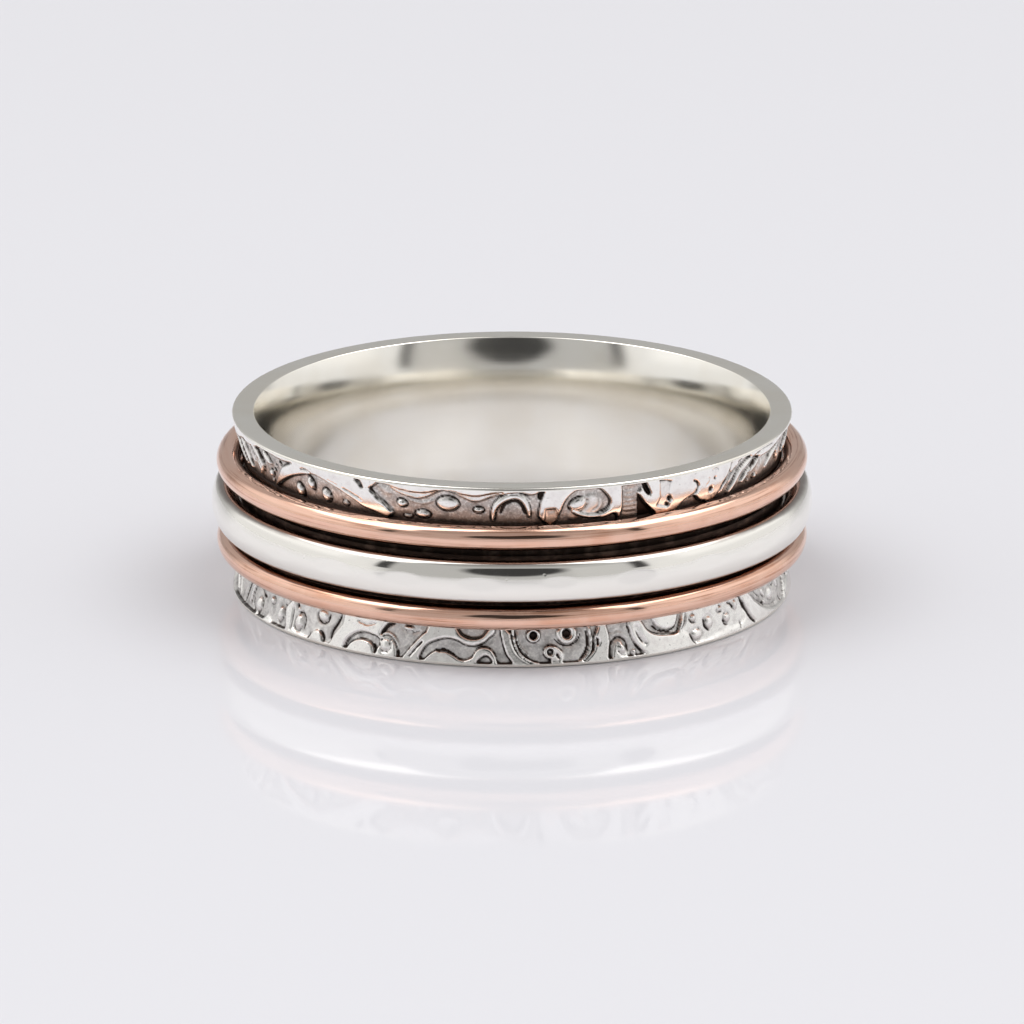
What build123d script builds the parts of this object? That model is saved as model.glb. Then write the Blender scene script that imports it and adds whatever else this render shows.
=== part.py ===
"""Spinner ring: a flared silver band with cast scroll relief, which carries three loose rings.

The ring lies on its side. The origin is the centre of the lower rim, +Z is the axis of the
finger bore, and azimuth 0 is the front (-Y), growing towards +X. Lengths are in millimetres,
angles in degrees.
"""

import os
from collections import namedtuple
from math import atan2, cos, degrees, hypot, radians, sin, sqrt

from build123d import *

# Band
BORE_RADIUS = 9.07
WALL = 0.70
BAND_HEIGHT = 6.75
TRACK_FLAT = 2.40
RIM_INNER_RADIUS = 9.50
RIM_OUTER_RADIUS = 10.32
RIM_EDGE_ROUND = 0.07

# Cast relief
RELIEF_DEPTH = 0.15
UPPER_ZONE = (5.15, 6.70)
LOWER_ZONE = (0.12, 1.55)
REPEATS = 2
RELIEF_PRISM_START = 8.60
RELIEF_PRISM_END = 10.80

# Spinners
COPPER_WIRE = 0.90
COPPER_OUTER_RADIUS = 10.87
COPPER_OFFSET = 1.53
SILVER_OUTER_RADIUS = 11.05
SILVER_INNER_RADIUS = 9.95
SILVER_WIDTH = 1.54
SILVER_SHOULDER_RADIUS = 10.70
SILVER_INNER_ROUND = 0.12

# Worked out from the sizes above
MID_HEIGHT = BAND_HEIGHT / 2
SKIN_RADIUS = BORE_RADIUS + WALL
FLARE_RISE = MID_HEIGHT - TRACK_FLAT / 2


def flare_radius(spread):
    """Radius of an arc that leaves the track upright and has spread outwards at the rim."""
    return (spread**2 + FLARE_RISE**2) / (2 * spread)


SKIN_FLARE = flare_radius(RIM_OUTER_RADIUS - SKIN_RADIUS)


def skin_radius(up):
    """Outer radius of the band at a height."""
    past_track = max(abs(up - MID_HEIGHT) - TRACK_FLAT / 2, 0)
    return SKIN_RADIUS + SKIN_FLARE - sqrt(SKIN_FLARE**2 - past_track**2)


# The relief chart covers half the band and is cast twice round it. Each place is an azimuth and
# a height. Fields are sunk grounds, given by the corners of their outline. Fields that reach the
# edge of a relief zone run past it and are trimmed to the zone.
SUNK_FIELDS = {
    "petal gap": ((-78, 5.00), (-75, 6.30), (-71.5, 6.28), (-66, 5.80), (-65, 5.00)),
    "wing": ((-63.8, 5.00), (-63.4, 6.57), (-56, 6.45), (-50.5, 6.51), (-55.5, 6.24), (-60, 5.60)),
    "hill": ((-60, 5.00), (-54, 5.79), (-50.7, 6.07), (-45.6, 6.38), (-42.2, 6.23), (-37, 5.89),
             (-31.7, 5.47), (-27.5, 5.00)),
    "wave": ((-24.5, 5.00), (-26.5, 5.75), (-30.5, 6.28), (-27.6, 6.66), (-23.5, 6.27),
             (-20.2, 6.13), (-16.8, 6.28), (-14.5, 6.53), (-11.5, 6.44), (-7.6, 6.17),
             (-1.3, 6.49), (1.7, 6.54), (4.1, 6.38), (6.0, 6.60), (5.3, 5.00)),
    "volute": ((8.9, 5.00), (9.4, 5.60), (10.6, 6.10), (12.8, 6.52), (15.2, 6.62), (17.6, 6.57),
               (19.8, 6.28), (20.6, 5.98), (20.0, 5.60), (19.0, 5.00)),
    "trapezoid": ((22.0, 5.00), (22.9, 6.00), (22.7, 6.62), (27.0, 6.66), (26.4, 6.21),
                  (28.6, 5.75), (30.9, 5.30), (31.0, 5.00)),
    "notch": ((31.6, 5.50), (31.4, 6.60), (34.3, 6.46), (34.0, 5.84), (34.8, 5.45)),
    "comma": ((36.0, 5.00), (38.5, 5.46), (40.6, 5.80), (41.3, 6.06), (40.4, 6.30),
              (41.9, 6.04), (41.2, 5.66), (40.2, 5.40), (41.5, 5.00)),
    "leaves": ((46.4, 5.00), (48.3, 5.42), (50.1, 5.90), (49.7, 6.66), (52.0, 6.25), (55.0, 6.50),
               (62.0, 6.62), (72.0, 6.50), (84.0, 6.25), (88.0, 5.00)),
    "outer arcade": ((-76, 0.00), (-78, 1.70), (-56, 1.70), (-56, 0.00)),
    "inner arcade": ((-58, 0.00), (-58, 1.70), (-36.3, 1.70), (-36.6, 0.95), (-38.4, 0.50),
                     (-39.3, 0.00)),
    "left arch": ((-36.1, 0.18), (-35.4, 0.55), (-33.8, 0.76), (-31.5, 0.84), (-29.0, 0.72),
                  (-28.3, 0.50), (-28.6, 0.20), (-29.3, 0.45), (-31.3, 0.60), (-33.6, 0.54),
                  (-35.0, 0.20)),
    "left valley": ((-24.4, 0.00), (-24.2, 0.70), (-26.6, 0.95), (-28.0, 0.80), (-27.2, 1.15),
                    (-25.0, 1.70), (-18.6, 1.70), (-20.4, 1.10), (-18.6, 0.66), (-19.4, 0.00)),
    "long wave": ((-18.9, 0.00), (-18.1, 0.58), (-16.0, 0.92), (-13.0, 1.02), (-10.8, 0.92),
                  (-10.9, 1.70), (0.2, 1.70), (0.5, 0.85), (1.9, 0.42), (4.0, 0.00)),
    "medallion": ((1.2, 1.70), (1.2, 0.90), (2.3, 0.52), (4.6, 0.27), (8.6, 0.00), (13.2, 0.00),
                  (15.2, 0.42), (15.9, 0.90), (15.4, 1.70)),
    "right arcade": ((20.0, 0.00), (20.1, 0.95), (19.2, 1.70), (24.6, 1.70), (25.0, 0.80),
                     (26.8, 0.28), (27.4, 0.00)),
    "crescent": ((27.6, 1.70), (28.2, 0.92), (30.2, 0.68), (33.0, 0.64), (36.5, 0.66),
                 (39.6, 0.00), (58.5, 0.00), (56.2, 1.70)),
    "rosette": ((60.5, 1.70), (61.5, 0.80), (64.5, 0.30), (70.0, 0.14), (76.0, 0.30),
                (80.5, 0.80), (83.0, 1.70)),
}

# Beads are domed ovals that stand on the sunk grounds.
Bead = namedtuple("Bead", "azimuth height wide tall lean")
BEADS = (
    Bead(-50.2, 5.50, 0.42, 0.54, 15),
    Bead(-46.1, 5.90, 0.32, 0.48, 15),
    Bead(-42.1, 5.60, 0.44, 0.52, 15),
    Bead(-61.0, 6.28, 0.30, 0.34, 20),
    Bead(-23.2, 5.84, 0.40, 0.32, 0),
    Bead(-18.8, 5.47, 0.56, 0.34, 0),
    Bead(-13.4, 5.99, 0.82, 0.58, 0),
    Bead(-6.8, 5.78, 0.36, 0.30, 0),
    Bead(13.8, 6.00, 0.66, 0.50, 30),
    Bead(-65.9, 0.50, 0.50, 0.54, 0),
    Bead(-60.8, 0.95, 0.26, 0.24, 0),
    Bead(-56.2, 0.60, 0.40, 0.62, 0),
    Bead(-49.7, 0.60, 0.44, 0.62, 8),
    Bead(-50.3, 1.10, 0.22, 0.18, 0),
    Bead(-43.0, 1.08, 0.46, 0.36, 0),
    Bead(-43.8, 0.36, 0.50, 0.50, 0),
    Bead(-26.2, 0.36, 0.60, 0.74, 0),
    Bead(-22.0, 1.18, 0.34, 0.20, 0),
    Bead(21.9, 0.36, 0.50, 0.66, 0),
    Bead(34.0, 1.22, 1.00, 0.78, 0),
    Bead(40.8, 1.06, 0.26, 0.24, 0),
    Bead(45.0, 0.76, 0.40, 0.46, 0),
    Bead(48.5, 1.15, 0.22, 0.20, 0),
    Bead(50.7, 0.72, 0.40, 0.34, 0),
    Bead(41.6, 0.40, 0.52, 0.40, 0),
    Bead(54.8, 0.36, 0.44, 0.34, 0),
    Bead(53.6, 1.12, 0.24, 0.24, 0),
    Bead(70.4, 0.72, 0.30, 0.30, 0),
)

# Eyelets are small raised rings with a pit in the middle.
Eyelet = namedtuple("Eyelet", "azimuth height across pit")
EYELETS = (
    Eyelet(4.6, 1.08, 0.48, 0.22),
    Eyelet(7.8, 0.54, 0.54, 0.24),
    Eyelet(11.6, 1.16, 0.72, 0.30),
    Eyelet(70.4, 0.72, 0.92, 0.68),
)

# Scrolls are raised ribs of one width along a short chain of points.
Scroll = namedtuple("Scroll", "wide points")
SCROLLS = {
    "petal": Scroll(0.16, ((-72.5, 6.30), (-71.0, 5.85), (-69.5, 5.30))),
    "upper arch": Scroll(0.20, ((-3.8, 5.50), (-2.8, 5.95), (-0.6, 6.22), (1.8, 6.24),
                                (3.1, 6.00), (3.8, 5.60))),
    "volute tail": Scroll(0.18, ((13.0, 5.86), (14.8, 5.60), (17.4, 5.48), (19.6, 5.66),
                                 (21.0, 6.00))),
    "first leaf": Scroll(0.20, ((53.0, 5.66), (55.6, 6.00), (58.4, 6.30))),
    "second leaf": Scroll(0.18, ((56.4, 5.60), (59.2, 6.00), (62.6, 6.40))),
    "third leaf": Scroll(0.18, ((65.4, 5.60), (67.4, 6.00), (70.6, 6.40))),
    "fourth leaf": Scroll(0.18, ((72.6, 5.55), (75.0, 5.95), (78.0, 6.32))),
    "bow": Scroll(0.13, ((-73.6, 1.35), (-73.0, 0.80), (-70.6, 0.20))),
    "left bar": Scroll(0.13, ((-52.4, 1.30), (-53.2, 0.70), (-54.0, 0.16))),
    "ridge": Scroll(0.13, ((-22.8, 0.20), (-20.4, 0.62), (-18.6, 1.20))),
    "smile": Scroll(0.18, ((-11.6, 1.14), (-10.0, 0.95), (-8.0, 0.87), (-5.8, 0.98),
                           (-3.7, 1.24))),
    "left mound": Scroll(0.30, ((-17.6, 0.16), (-14.2, 0.36), (-10.6, 0.16))),
    "small arch": Scroll(0.15, ((-8.4, 0.26), (-6.9, 0.54), (-5.2, 0.57), (-3.4, 0.26))),
    "strap": Scroll(0.24, ((-2.0, 1.40), (-1.6, 0.95), (-0.7, 0.50), (0.9, 0.16))),
    "slanted strap": Scroll(0.34, ((26.3, 1.40), (27.0, 0.95), (28.0, 0.60), (30.0, 0.30))),
    "left bud": Scroll(0.12, ((78.4, 0.90), (77.6, 0.55))),
}

# Slots are small lens-shaped cuts in the plain metal.
Slot = namedtuple("Slot", "azimuth height wide long lean")
SLOTS = (
    Slot(-33.1, 6.46, 0.17, 0.56, 48),
    Slot(-28.9, 5.99, 0.13, 0.34, 60),
    Slot(28.3, 6.34, 0.17, 0.56, 18),
    Slot(45.1, 5.82, 0.20, 0.20, 0),
    Slot(46.3, 6.18, 0.12, 0.20, 0),
    Slot(17.4, 0.75, 0.16, 0.24, 0),
)

# Hammered flats on the middle spinner: azimuth, depth of the flat and its tilt to the axis.
Flat = namedtuple("Flat", "azimuth depth tilt")
FLATS = (
    Flat(-6, 0.050, 2.0), Flat(9, 0.040, -1.5), Flat(24, 0.055, 1.0), Flat(40, 0.045, -2.0),
    Flat(54, 0.050, 1.5), Flat(70, 0.040, 0.0), Flat(84, 0.055, -1.0), Flat(100, 0.050, 2.0),
    Flat(115, 0.045, -2.0), Flat(129, 0.055, 0.5), Flat(146, 0.050, 1.5), Flat(160, 0.040, -1.0),
    Flat(176, 0.055, 2.0), Flat(190, 0.045, -1.5), Flat(205, 0.050, 0.5), Flat(221, 0.040, -2.0),
    Flat(235, 0.055, 1.5), Flat(250, 0.050, -0.5), Flat(266, 0.045, 1.0), Flat(280, 0.055, -2.0),
    Flat(295, 0.040, 1.5), Flat(310, 0.050, 0.0), Flat(324, 0.045, -1.0), Flat(339, 0.055, 1.0),
)


def facing(azimuth, distance=RELIEF_PRISM_START, height=0):
    """Upright plane that looks out from the axis: x runs along the band and y is upwards."""
    turn = radians(azimuth)
    outwards = Vector(sin(turn), -cos(turn), 0)
    along = Vector(cos(turn), sin(turn), 0)
    return Plane(origin=outwards * distance + Vector(0, 0, height), x_dir=along, z_dir=outwards)


def on_plane(points, azimuth):
    """Chart places as points of the plane that faces an azimuth."""
    return [(skin_radius(up) * sin(radians(turn - azimuth)), up) for turn, up in points]


def middle(points):
    """Azimuth half way between the ends of an outline."""
    turns = [turn for turn, up in points]
    return (min(turns) + max(turns)) / 2


def outline(points):
    """Flat face inside a chain of chart places, in the sketch that faces their middle."""
    with BuildLine() as edge:
        Polyline(*on_plane(points, middle(points)), close=True)
    make_face(edge.line)


def rib(scroll):
    """Rib along a chain of chart places, as slots that share their round ends."""
    places = on_plane(scroll.points, middle(scroll.points))
    for (start_x, start_y), (end_x, end_y) in zip(places, places[1:]):
        run_x, run_y = end_x - start_x, end_y - start_y
        with Locations((start_x + run_x / 2, start_y + run_y / 2)):
            SlotCenterToCenter(hypot(run_x, run_y), scroll.wide,
                               rotation=degrees(atan2(run_y, run_x)))


def band_section():
    """Half section of the band: a straight track between two flares, with eased rim edges."""
    top, bottom = BAND_HEIGHT, 0
    flat_top, flat_bottom = MID_HEIGHT + TRACK_FLAT / 2, MID_HEIGHT - TRACK_FLAT / 2
    with BuildLine() as edge:
        Line((BORE_RADIUS, flat_bottom), (BORE_RADIUS, flat_top))
        TangentArc((BORE_RADIUS, flat_top), (RIM_INNER_RADIUS, top), tangent=(0, 1))
        Line((RIM_INNER_RADIUS, top), (RIM_OUTER_RADIUS, top))
        TangentArc((SKIN_RADIUS, flat_top), (RIM_OUTER_RADIUS, top), tangent=(0, 1))
        Line((SKIN_RADIUS, flat_top), (SKIN_RADIUS, flat_bottom))
        TangentArc((SKIN_RADIUS, flat_bottom), (RIM_OUTER_RADIUS, bottom), tangent=(0, -1))
        Line((RIM_OUTER_RADIUS, bottom), (RIM_INNER_RADIUS, bottom))
        TangentArc((BORE_RADIUS, flat_bottom), (RIM_INNER_RADIUS, bottom), tangent=(0, -1))
    make_face(edge.line)


def relief_section(zone):
    """Half section of the layer that the relief is sunk into, over one zone of heights."""
    low, high = zone
    ground_flare = SKIN_FLARE + RELIEF_DEPTH
    side = 1 if low > MID_HEIGHT else -1
    turn_height = MID_HEIGHT + side * TRACK_FLAT / 2
    centre_radius = SKIN_RADIUS + SKIN_FLARE

    def ground(up):
        return centre_radius - sqrt(ground_flare**2 - (up - turn_height) ** 2)

    halfway = (low + high) / 2
    with BuildLine() as edge:
        ThreePointArc((ground(low), low), (ground(halfway), halfway), (ground(high), high))
        Polyline((ground(high), high), (RELIEF_PRISM_END, high), (RELIEF_PRISM_END, low),
                 (ground(low), low))
    make_face(edge.line)


# Everything that stands up on the sunk grounds, as prisms that look out from the axis
with BuildPart() as raised_motifs:
    for bead in BEADS:
        with BuildSketch(facing(bead.azimuth)):
            with Locations((0, bead.height)):
                Ellipse(bead.wide / 2, bead.tall / 2, rotation=bead.lean)
    for eyelet in EYELETS:
        with BuildSketch(facing(eyelet.azimuth)):
            with Locations((0, eyelet.height)):
                Circle(eyelet.across / 2)
                Circle(eyelet.pit / 2, mode=Mode.SUBTRACT)
    for scroll in SCROLLS.values():
        with BuildSketch(facing(middle(scroll.points))):
            rib(scroll)
    extrude(amount=RELIEF_PRISM_END - RELIEF_PRISM_START)

# The sunk grounds and slots, cut to the layer under the skin, with the motifs left standing
with BuildPart() as sunk_relief:
    for points in SUNK_FIELDS.values():
        with BuildSketch(facing(middle(points))):
            outline(points)
    for slot in SLOTS:
        with BuildSketch(facing(slot.azimuth)):
            with Locations((0, slot.height)):
                Ellipse(slot.wide / 2, slot.long / 2, rotation=slot.lean)
    extrude(amount=RELIEF_PRISM_END - RELIEF_PRISM_START)
    with BuildSketch(Plane.XZ):
        relief_section(UPPER_ZONE)
        relief_section(LOWER_ZONE)
    revolve(axis=Axis.Z, mode=Mode.INTERSECT)
    add(raised_motifs.part, mode=Mode.SUBTRACT)

with BuildPart() as base_band:
    with BuildSketch(Plane.XZ):
        band_section()
    revolve(axis=Axis.Z)
    rim_edges = base_band.edges().filter_by(GeomType.CIRCLE).group_by(Axis.Z)
    fillet(rim_edges[0] + rim_edges[-1], radius=RIM_EDGE_ROUND)
    for turn in range(REPEATS):
        add(sunk_relief.part.rotate(Axis.Z, turn * 360 / REPEATS), mode=Mode.SUBTRACT)
base_band.part.label = "base_band"


def wire_section(height):
    """Round section of a copper wire that runs round the track at a height."""
    with Locations((COPPER_OUTER_RADIUS - COPPER_WIRE / 2, height)):
        Circle(COPPER_WIRE / 2)


with BuildPart() as upper_copper_spinner:
    with BuildSketch(Plane.XZ):
        wire_section(MID_HEIGHT + COPPER_OFFSET)
    revolve(axis=Axis.Z)
upper_copper_spinner.part.label = "upper_copper_spinner"

with BuildPart() as lower_copper_spinner:
    with BuildSketch(Plane.XZ):
        wire_section(MID_HEIGHT - COPPER_OFFSET)
    revolve(axis=Axis.Z)
lower_copper_spinner.part.label = "lower_copper_spinner"

# Domed band: a flat inside, eased edges and a crowned outside, dressed with hammered flats
with BuildPart() as centre_silver_spinner:
    half_width = SILVER_WIDTH / 2
    with BuildSketch(Plane.XZ) as dome_section:
        with BuildLine():
            Polyline((SILVER_SHOULDER_RADIUS, MID_HEIGHT + half_width),
                     (SILVER_INNER_RADIUS, MID_HEIGHT + half_width),
                     (SILVER_INNER_RADIUS, MID_HEIGHT - half_width),
                     (SILVER_SHOULDER_RADIUS, MID_HEIGHT - half_width))
            ThreePointArc((SILVER_SHOULDER_RADIUS, MID_HEIGHT - half_width),
                          (SILVER_OUTER_RADIUS, MID_HEIGHT),
                          (SILVER_SHOULDER_RADIUS, MID_HEIGHT + half_width))
        make_face()
        fillet(dome_section.vertices().group_by(Axis.X)[0], radius=SILVER_INNER_ROUND)
    revolve(axis=Axis.Z)
    for flat in FLATS:
        face_plane = facing(flat.azimuth, SILVER_OUTER_RADIUS - flat.depth, MID_HEIGHT)
        with BuildSketch(face_plane.rotated((flat.tilt, 0, 0))):
            Rectangle(4 * SILVER_WIDTH, 2 * SILVER_WIDTH)
    extrude(amount=SILVER_WIDTH, mode=Mode.SUBTRACT)
centre_silver_spinner.part.label = "centre_silver_spinner"

os.makedirs("parts", exist_ok=True)
export_step(base_band.part, "parts/base_band.step")
export_step(upper_copper_spinner.part, "parts/upper_copper_spinner.step")
export_step(centre_silver_spinner.part, "parts/centre_silver_spinner.step")
export_step(lower_copper_spinner.part, "parts/lower_copper_spinner.step")
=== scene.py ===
"""Dresses a spinner ring: a flared silver band with cast scroll relief and three loose rings.

The ring lies on its side on glossy white acrylic. The origin is the centre of the lower rim and
+Z is the axis of the finger bore. Azimuth 0 is the front (-Y) and grows towards +X. Lengths are
in metres, and the relief chart is in degrees and millimetres.
"""

import logging
from abc import ABC, abstractmethod
from collections.abc import Callable, Sequence
from dataclasses import dataclass, field
from enum import Enum
from math import asin, atan2, cos, pi, radians, sin, sqrt, tan
from typing import ClassVar

import bpy
import numpy as np
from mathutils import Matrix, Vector


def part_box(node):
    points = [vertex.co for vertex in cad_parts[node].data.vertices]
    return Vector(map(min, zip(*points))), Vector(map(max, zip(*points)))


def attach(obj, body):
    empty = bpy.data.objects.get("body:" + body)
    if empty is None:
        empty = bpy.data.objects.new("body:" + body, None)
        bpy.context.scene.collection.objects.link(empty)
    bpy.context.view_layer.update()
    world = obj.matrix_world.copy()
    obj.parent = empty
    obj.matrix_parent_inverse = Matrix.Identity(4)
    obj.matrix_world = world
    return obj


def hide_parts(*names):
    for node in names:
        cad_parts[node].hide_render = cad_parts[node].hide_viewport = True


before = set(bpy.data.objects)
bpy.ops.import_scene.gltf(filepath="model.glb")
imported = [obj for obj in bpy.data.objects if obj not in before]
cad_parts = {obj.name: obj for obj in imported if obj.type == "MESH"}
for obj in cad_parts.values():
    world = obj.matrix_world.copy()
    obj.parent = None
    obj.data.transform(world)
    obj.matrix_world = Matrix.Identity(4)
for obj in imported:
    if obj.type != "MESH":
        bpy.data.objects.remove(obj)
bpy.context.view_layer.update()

MM = 0.001
WELD = 0.002 * MM
SECTORS = 16

Colour = tuple[float, float, float]
Place = tuple[float, float]

log = logging.getLogger("spinner_ring")


class Body(Enum):
    """CAD bodies that the pieces ride on."""

    BAND = "band"
    UPPER_SPINNER = "upper_spinner"
    CENTRE_SPINNER = "centre_spinner"
    LOWER_SPINNER = "lower_spinner"


class Slot(Enum):
    """Material slots of the record."""

    BAND_SILVER = "band_silver"
    SPINNER_SILVER = "spinner_silver"
    SPINNER_COPPER = "spinner_copper"


class NodeSheet:
    """Node tree of one material or world, with short calls to add and join its nodes."""

    def __init__(self, tree: bpy.types.NodeTree) -> None:
        """Empties a node tree and keeps it.

        Args:
            tree: Node tree of a material or of the world.
        """
        tree.nodes.clear()
        self.tree = tree

    def add(self, kind: str, **settings: object) -> bpy.types.Node:
        """Adds a node and sets its properties.

        Args:
            kind: Blender's name for the node type.
            settings: Properties of the node, by name.

        Returns:
            The new node.
        """
        node = self.tree.nodes.new(kind)
        for name, value in settings.items():
            setattr(node, name, value)
        return node

    def join(self, source: bpy.types.NodeSocket, target: bpy.types.NodeSocket) -> None:
        """Links an output to an input."""
        self.tree.links.new(source, target)

    def feed(self, value: object, target: bpy.types.NodeSocket) -> None:
        """Sets an input to a number or colour, or links it when the value is a socket."""
        if isinstance(value, bpy.types.NodeSocket):
            self.join(value, target)
        else:
            target.default_value = value

    def sum(self, operation: str, first: object, second: object = 0.0,
            third: object = 0.0) -> bpy.types.NodeSocket:
        """Does one step of arithmetic.

        Args:
            operation: Blender's name for the operation.
            first: First number or socket.
            second: Second number or socket.
            third: Third number or socket.

        Returns:
            The result's socket.
        """
        node = self.add("ShaderNodeMath", operation=operation)
        for value, target in zip((first, second, third), node.inputs):
            self.feed(value, target)
        return node.outputs[0]

    def ease(self, value: object, low: float, high: float, start: float = 0.0,
             end: float = 1.0) -> bpy.types.NodeSocket:
        """Eases a value from start to end as it goes from low to high.

        Args:
            value: Number or socket to read.
            low: Where the change begins.
            high: Where the change is complete.
            start: Result at or below low.
            end: Result at or above high.

        Returns:
            The result's socket.
        """
        node = self.add("ShaderNodeMapRange", interpolation_type="SMOOTHSTEP")
        for value_in, target in zip((value, low, high, start, end), node.inputs):
            self.feed(value_in, target)
        return node.outputs[0]

    def blend(self, share: object, first: object, second: object) -> bpy.types.NodeSocket:
        """Mixes two colours.

        Args:
            share: Share of the second colour.
            first: Colour or socket at share 0.
            second: Colour or socket at share 1.

        Returns:
            The mixed colour's socket.
        """
        node = self.add("ShaderNodeMix", data_type="RGBA")
        self.feed(share, node.inputs["Factor"])
        for value, target in ((first, node.inputs[6]), (second, node.inputs[7])):
            self.feed((*value, 1.0) if isinstance(value, tuple) else value, target)
        return node.outputs[2]

    def noise(self, place: bpy.types.NodeSocket, scale: float, detail: float = 3.0,
              roughness: float = 0.5) -> bpy.types.NodeSocket:
        """Adds a noise pattern.

        Args:
            place: Coordinates to read.
            scale: Patches per metre.
            detail: Octaves of finer noise.
            roughness: Strength of the finer octaves.

        Returns:
            The pattern's value, about 0 to 1.
        """
        node = self.add("ShaderNodeTexNoise")
        self.join(place, node.inputs["Vector"])
        node.inputs["Scale"].default_value = scale
        node.inputs["Detail"].default_value = detail
        node.inputs["Roughness"].default_value = roughness
        return node.outputs["Fac"]

    def place(self) -> bpy.types.NodeSocket:
        """Coordinates of the piece itself, in metres."""
        return self.add("ShaderNodeTexCoord").outputs["Object"]

    def parts(self, vector: bpy.types.NodeSocket) -> list[bpy.types.NodeSocket]:
        """The x, y and z of some coordinates."""
        node = self.add("ShaderNodeSeparateXYZ")
        self.join(vector, node.inputs[0])
        return list(node.outputs)

    def radius(self) -> bpy.types.NodeSocket:
        """Distance from the axis of the bore."""
        across, deep, _ = self.parts(self.place())
        square = self.sum("MULTIPLY", deep, deep)
        return self.sum("SQRT", self.sum("MULTIPLY_ADD", across, across, square))

    def lathe_place(self, slack: float) -> bpy.types.NodeSocket:
        """Coordinates that hardly change along a turn round the axis, for drawn and rubbed marks.

        Args:
            slack: How far the pattern drifts over a turn, in metres.

        Returns:
            The coordinates' socket.
        """
        across, deep, up = self.parts(self.place())
        radius = self.radius()
        drift = self.sum("MULTIPLY", self.sum("DIVIDE", across, radius), slack)
        place = self.add("ShaderNodeCombineXYZ")
        self.join(self.sum("ADD", radius, drift), place.inputs[0])
        self.join(up, place.inputs[1])
        self.join(self.sum("MULTIPLY", self.sum("DIVIDE", deep, radius), slack), place.inputs[2])
        return place.outputs[0]

    def bump(self, height: bpy.types.NodeSocket, distance: float, strength: object = 1.0,
             below: bpy.types.NodeSocket | None = None) -> bpy.types.NodeSocket:
        """Turns a height pattern into a shading normal.

        Args:
            height: Height from 0 to 1.
            distance: Height of 1, in metres.
            strength: How much of the bump shows.
            below: Normal that this one is laid over.

        Returns:
            The normal's socket.
        """
        node = self.add("ShaderNodeBump")
        node.inputs["Distance"].default_value = distance
        self.feed(strength, node.inputs["Strength"])
        self.join(height, node.inputs["Height"])
        if below is not None:
            self.join(below, node.inputs["Normal"])
        return node.outputs[0]


def new_finish(name: str, metallic: float = 1.0
               ) -> tuple[bpy.types.Material, NodeSheet, bpy.types.Node]:
    """Starts a material.

    Args:
        name: Name of the material.
        metallic: 1 for a metal and 0 for anything else.

    Returns:
        The material, its node sheet and its shader.
    """
    material = bpy.data.materials.new(name)
    material.use_nodes = True
    sheet = NodeSheet(material.node_tree)
    shader = sheet.add("ShaderNodeBsdfPrincipled")
    shader.inputs["Metallic"].default_value = metallic
    output = sheet.add("ShaderNodeOutputMaterial")
    sheet.join(shader.outputs[0], output.inputs["Surface"])
    return material, sheet, shader


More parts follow.
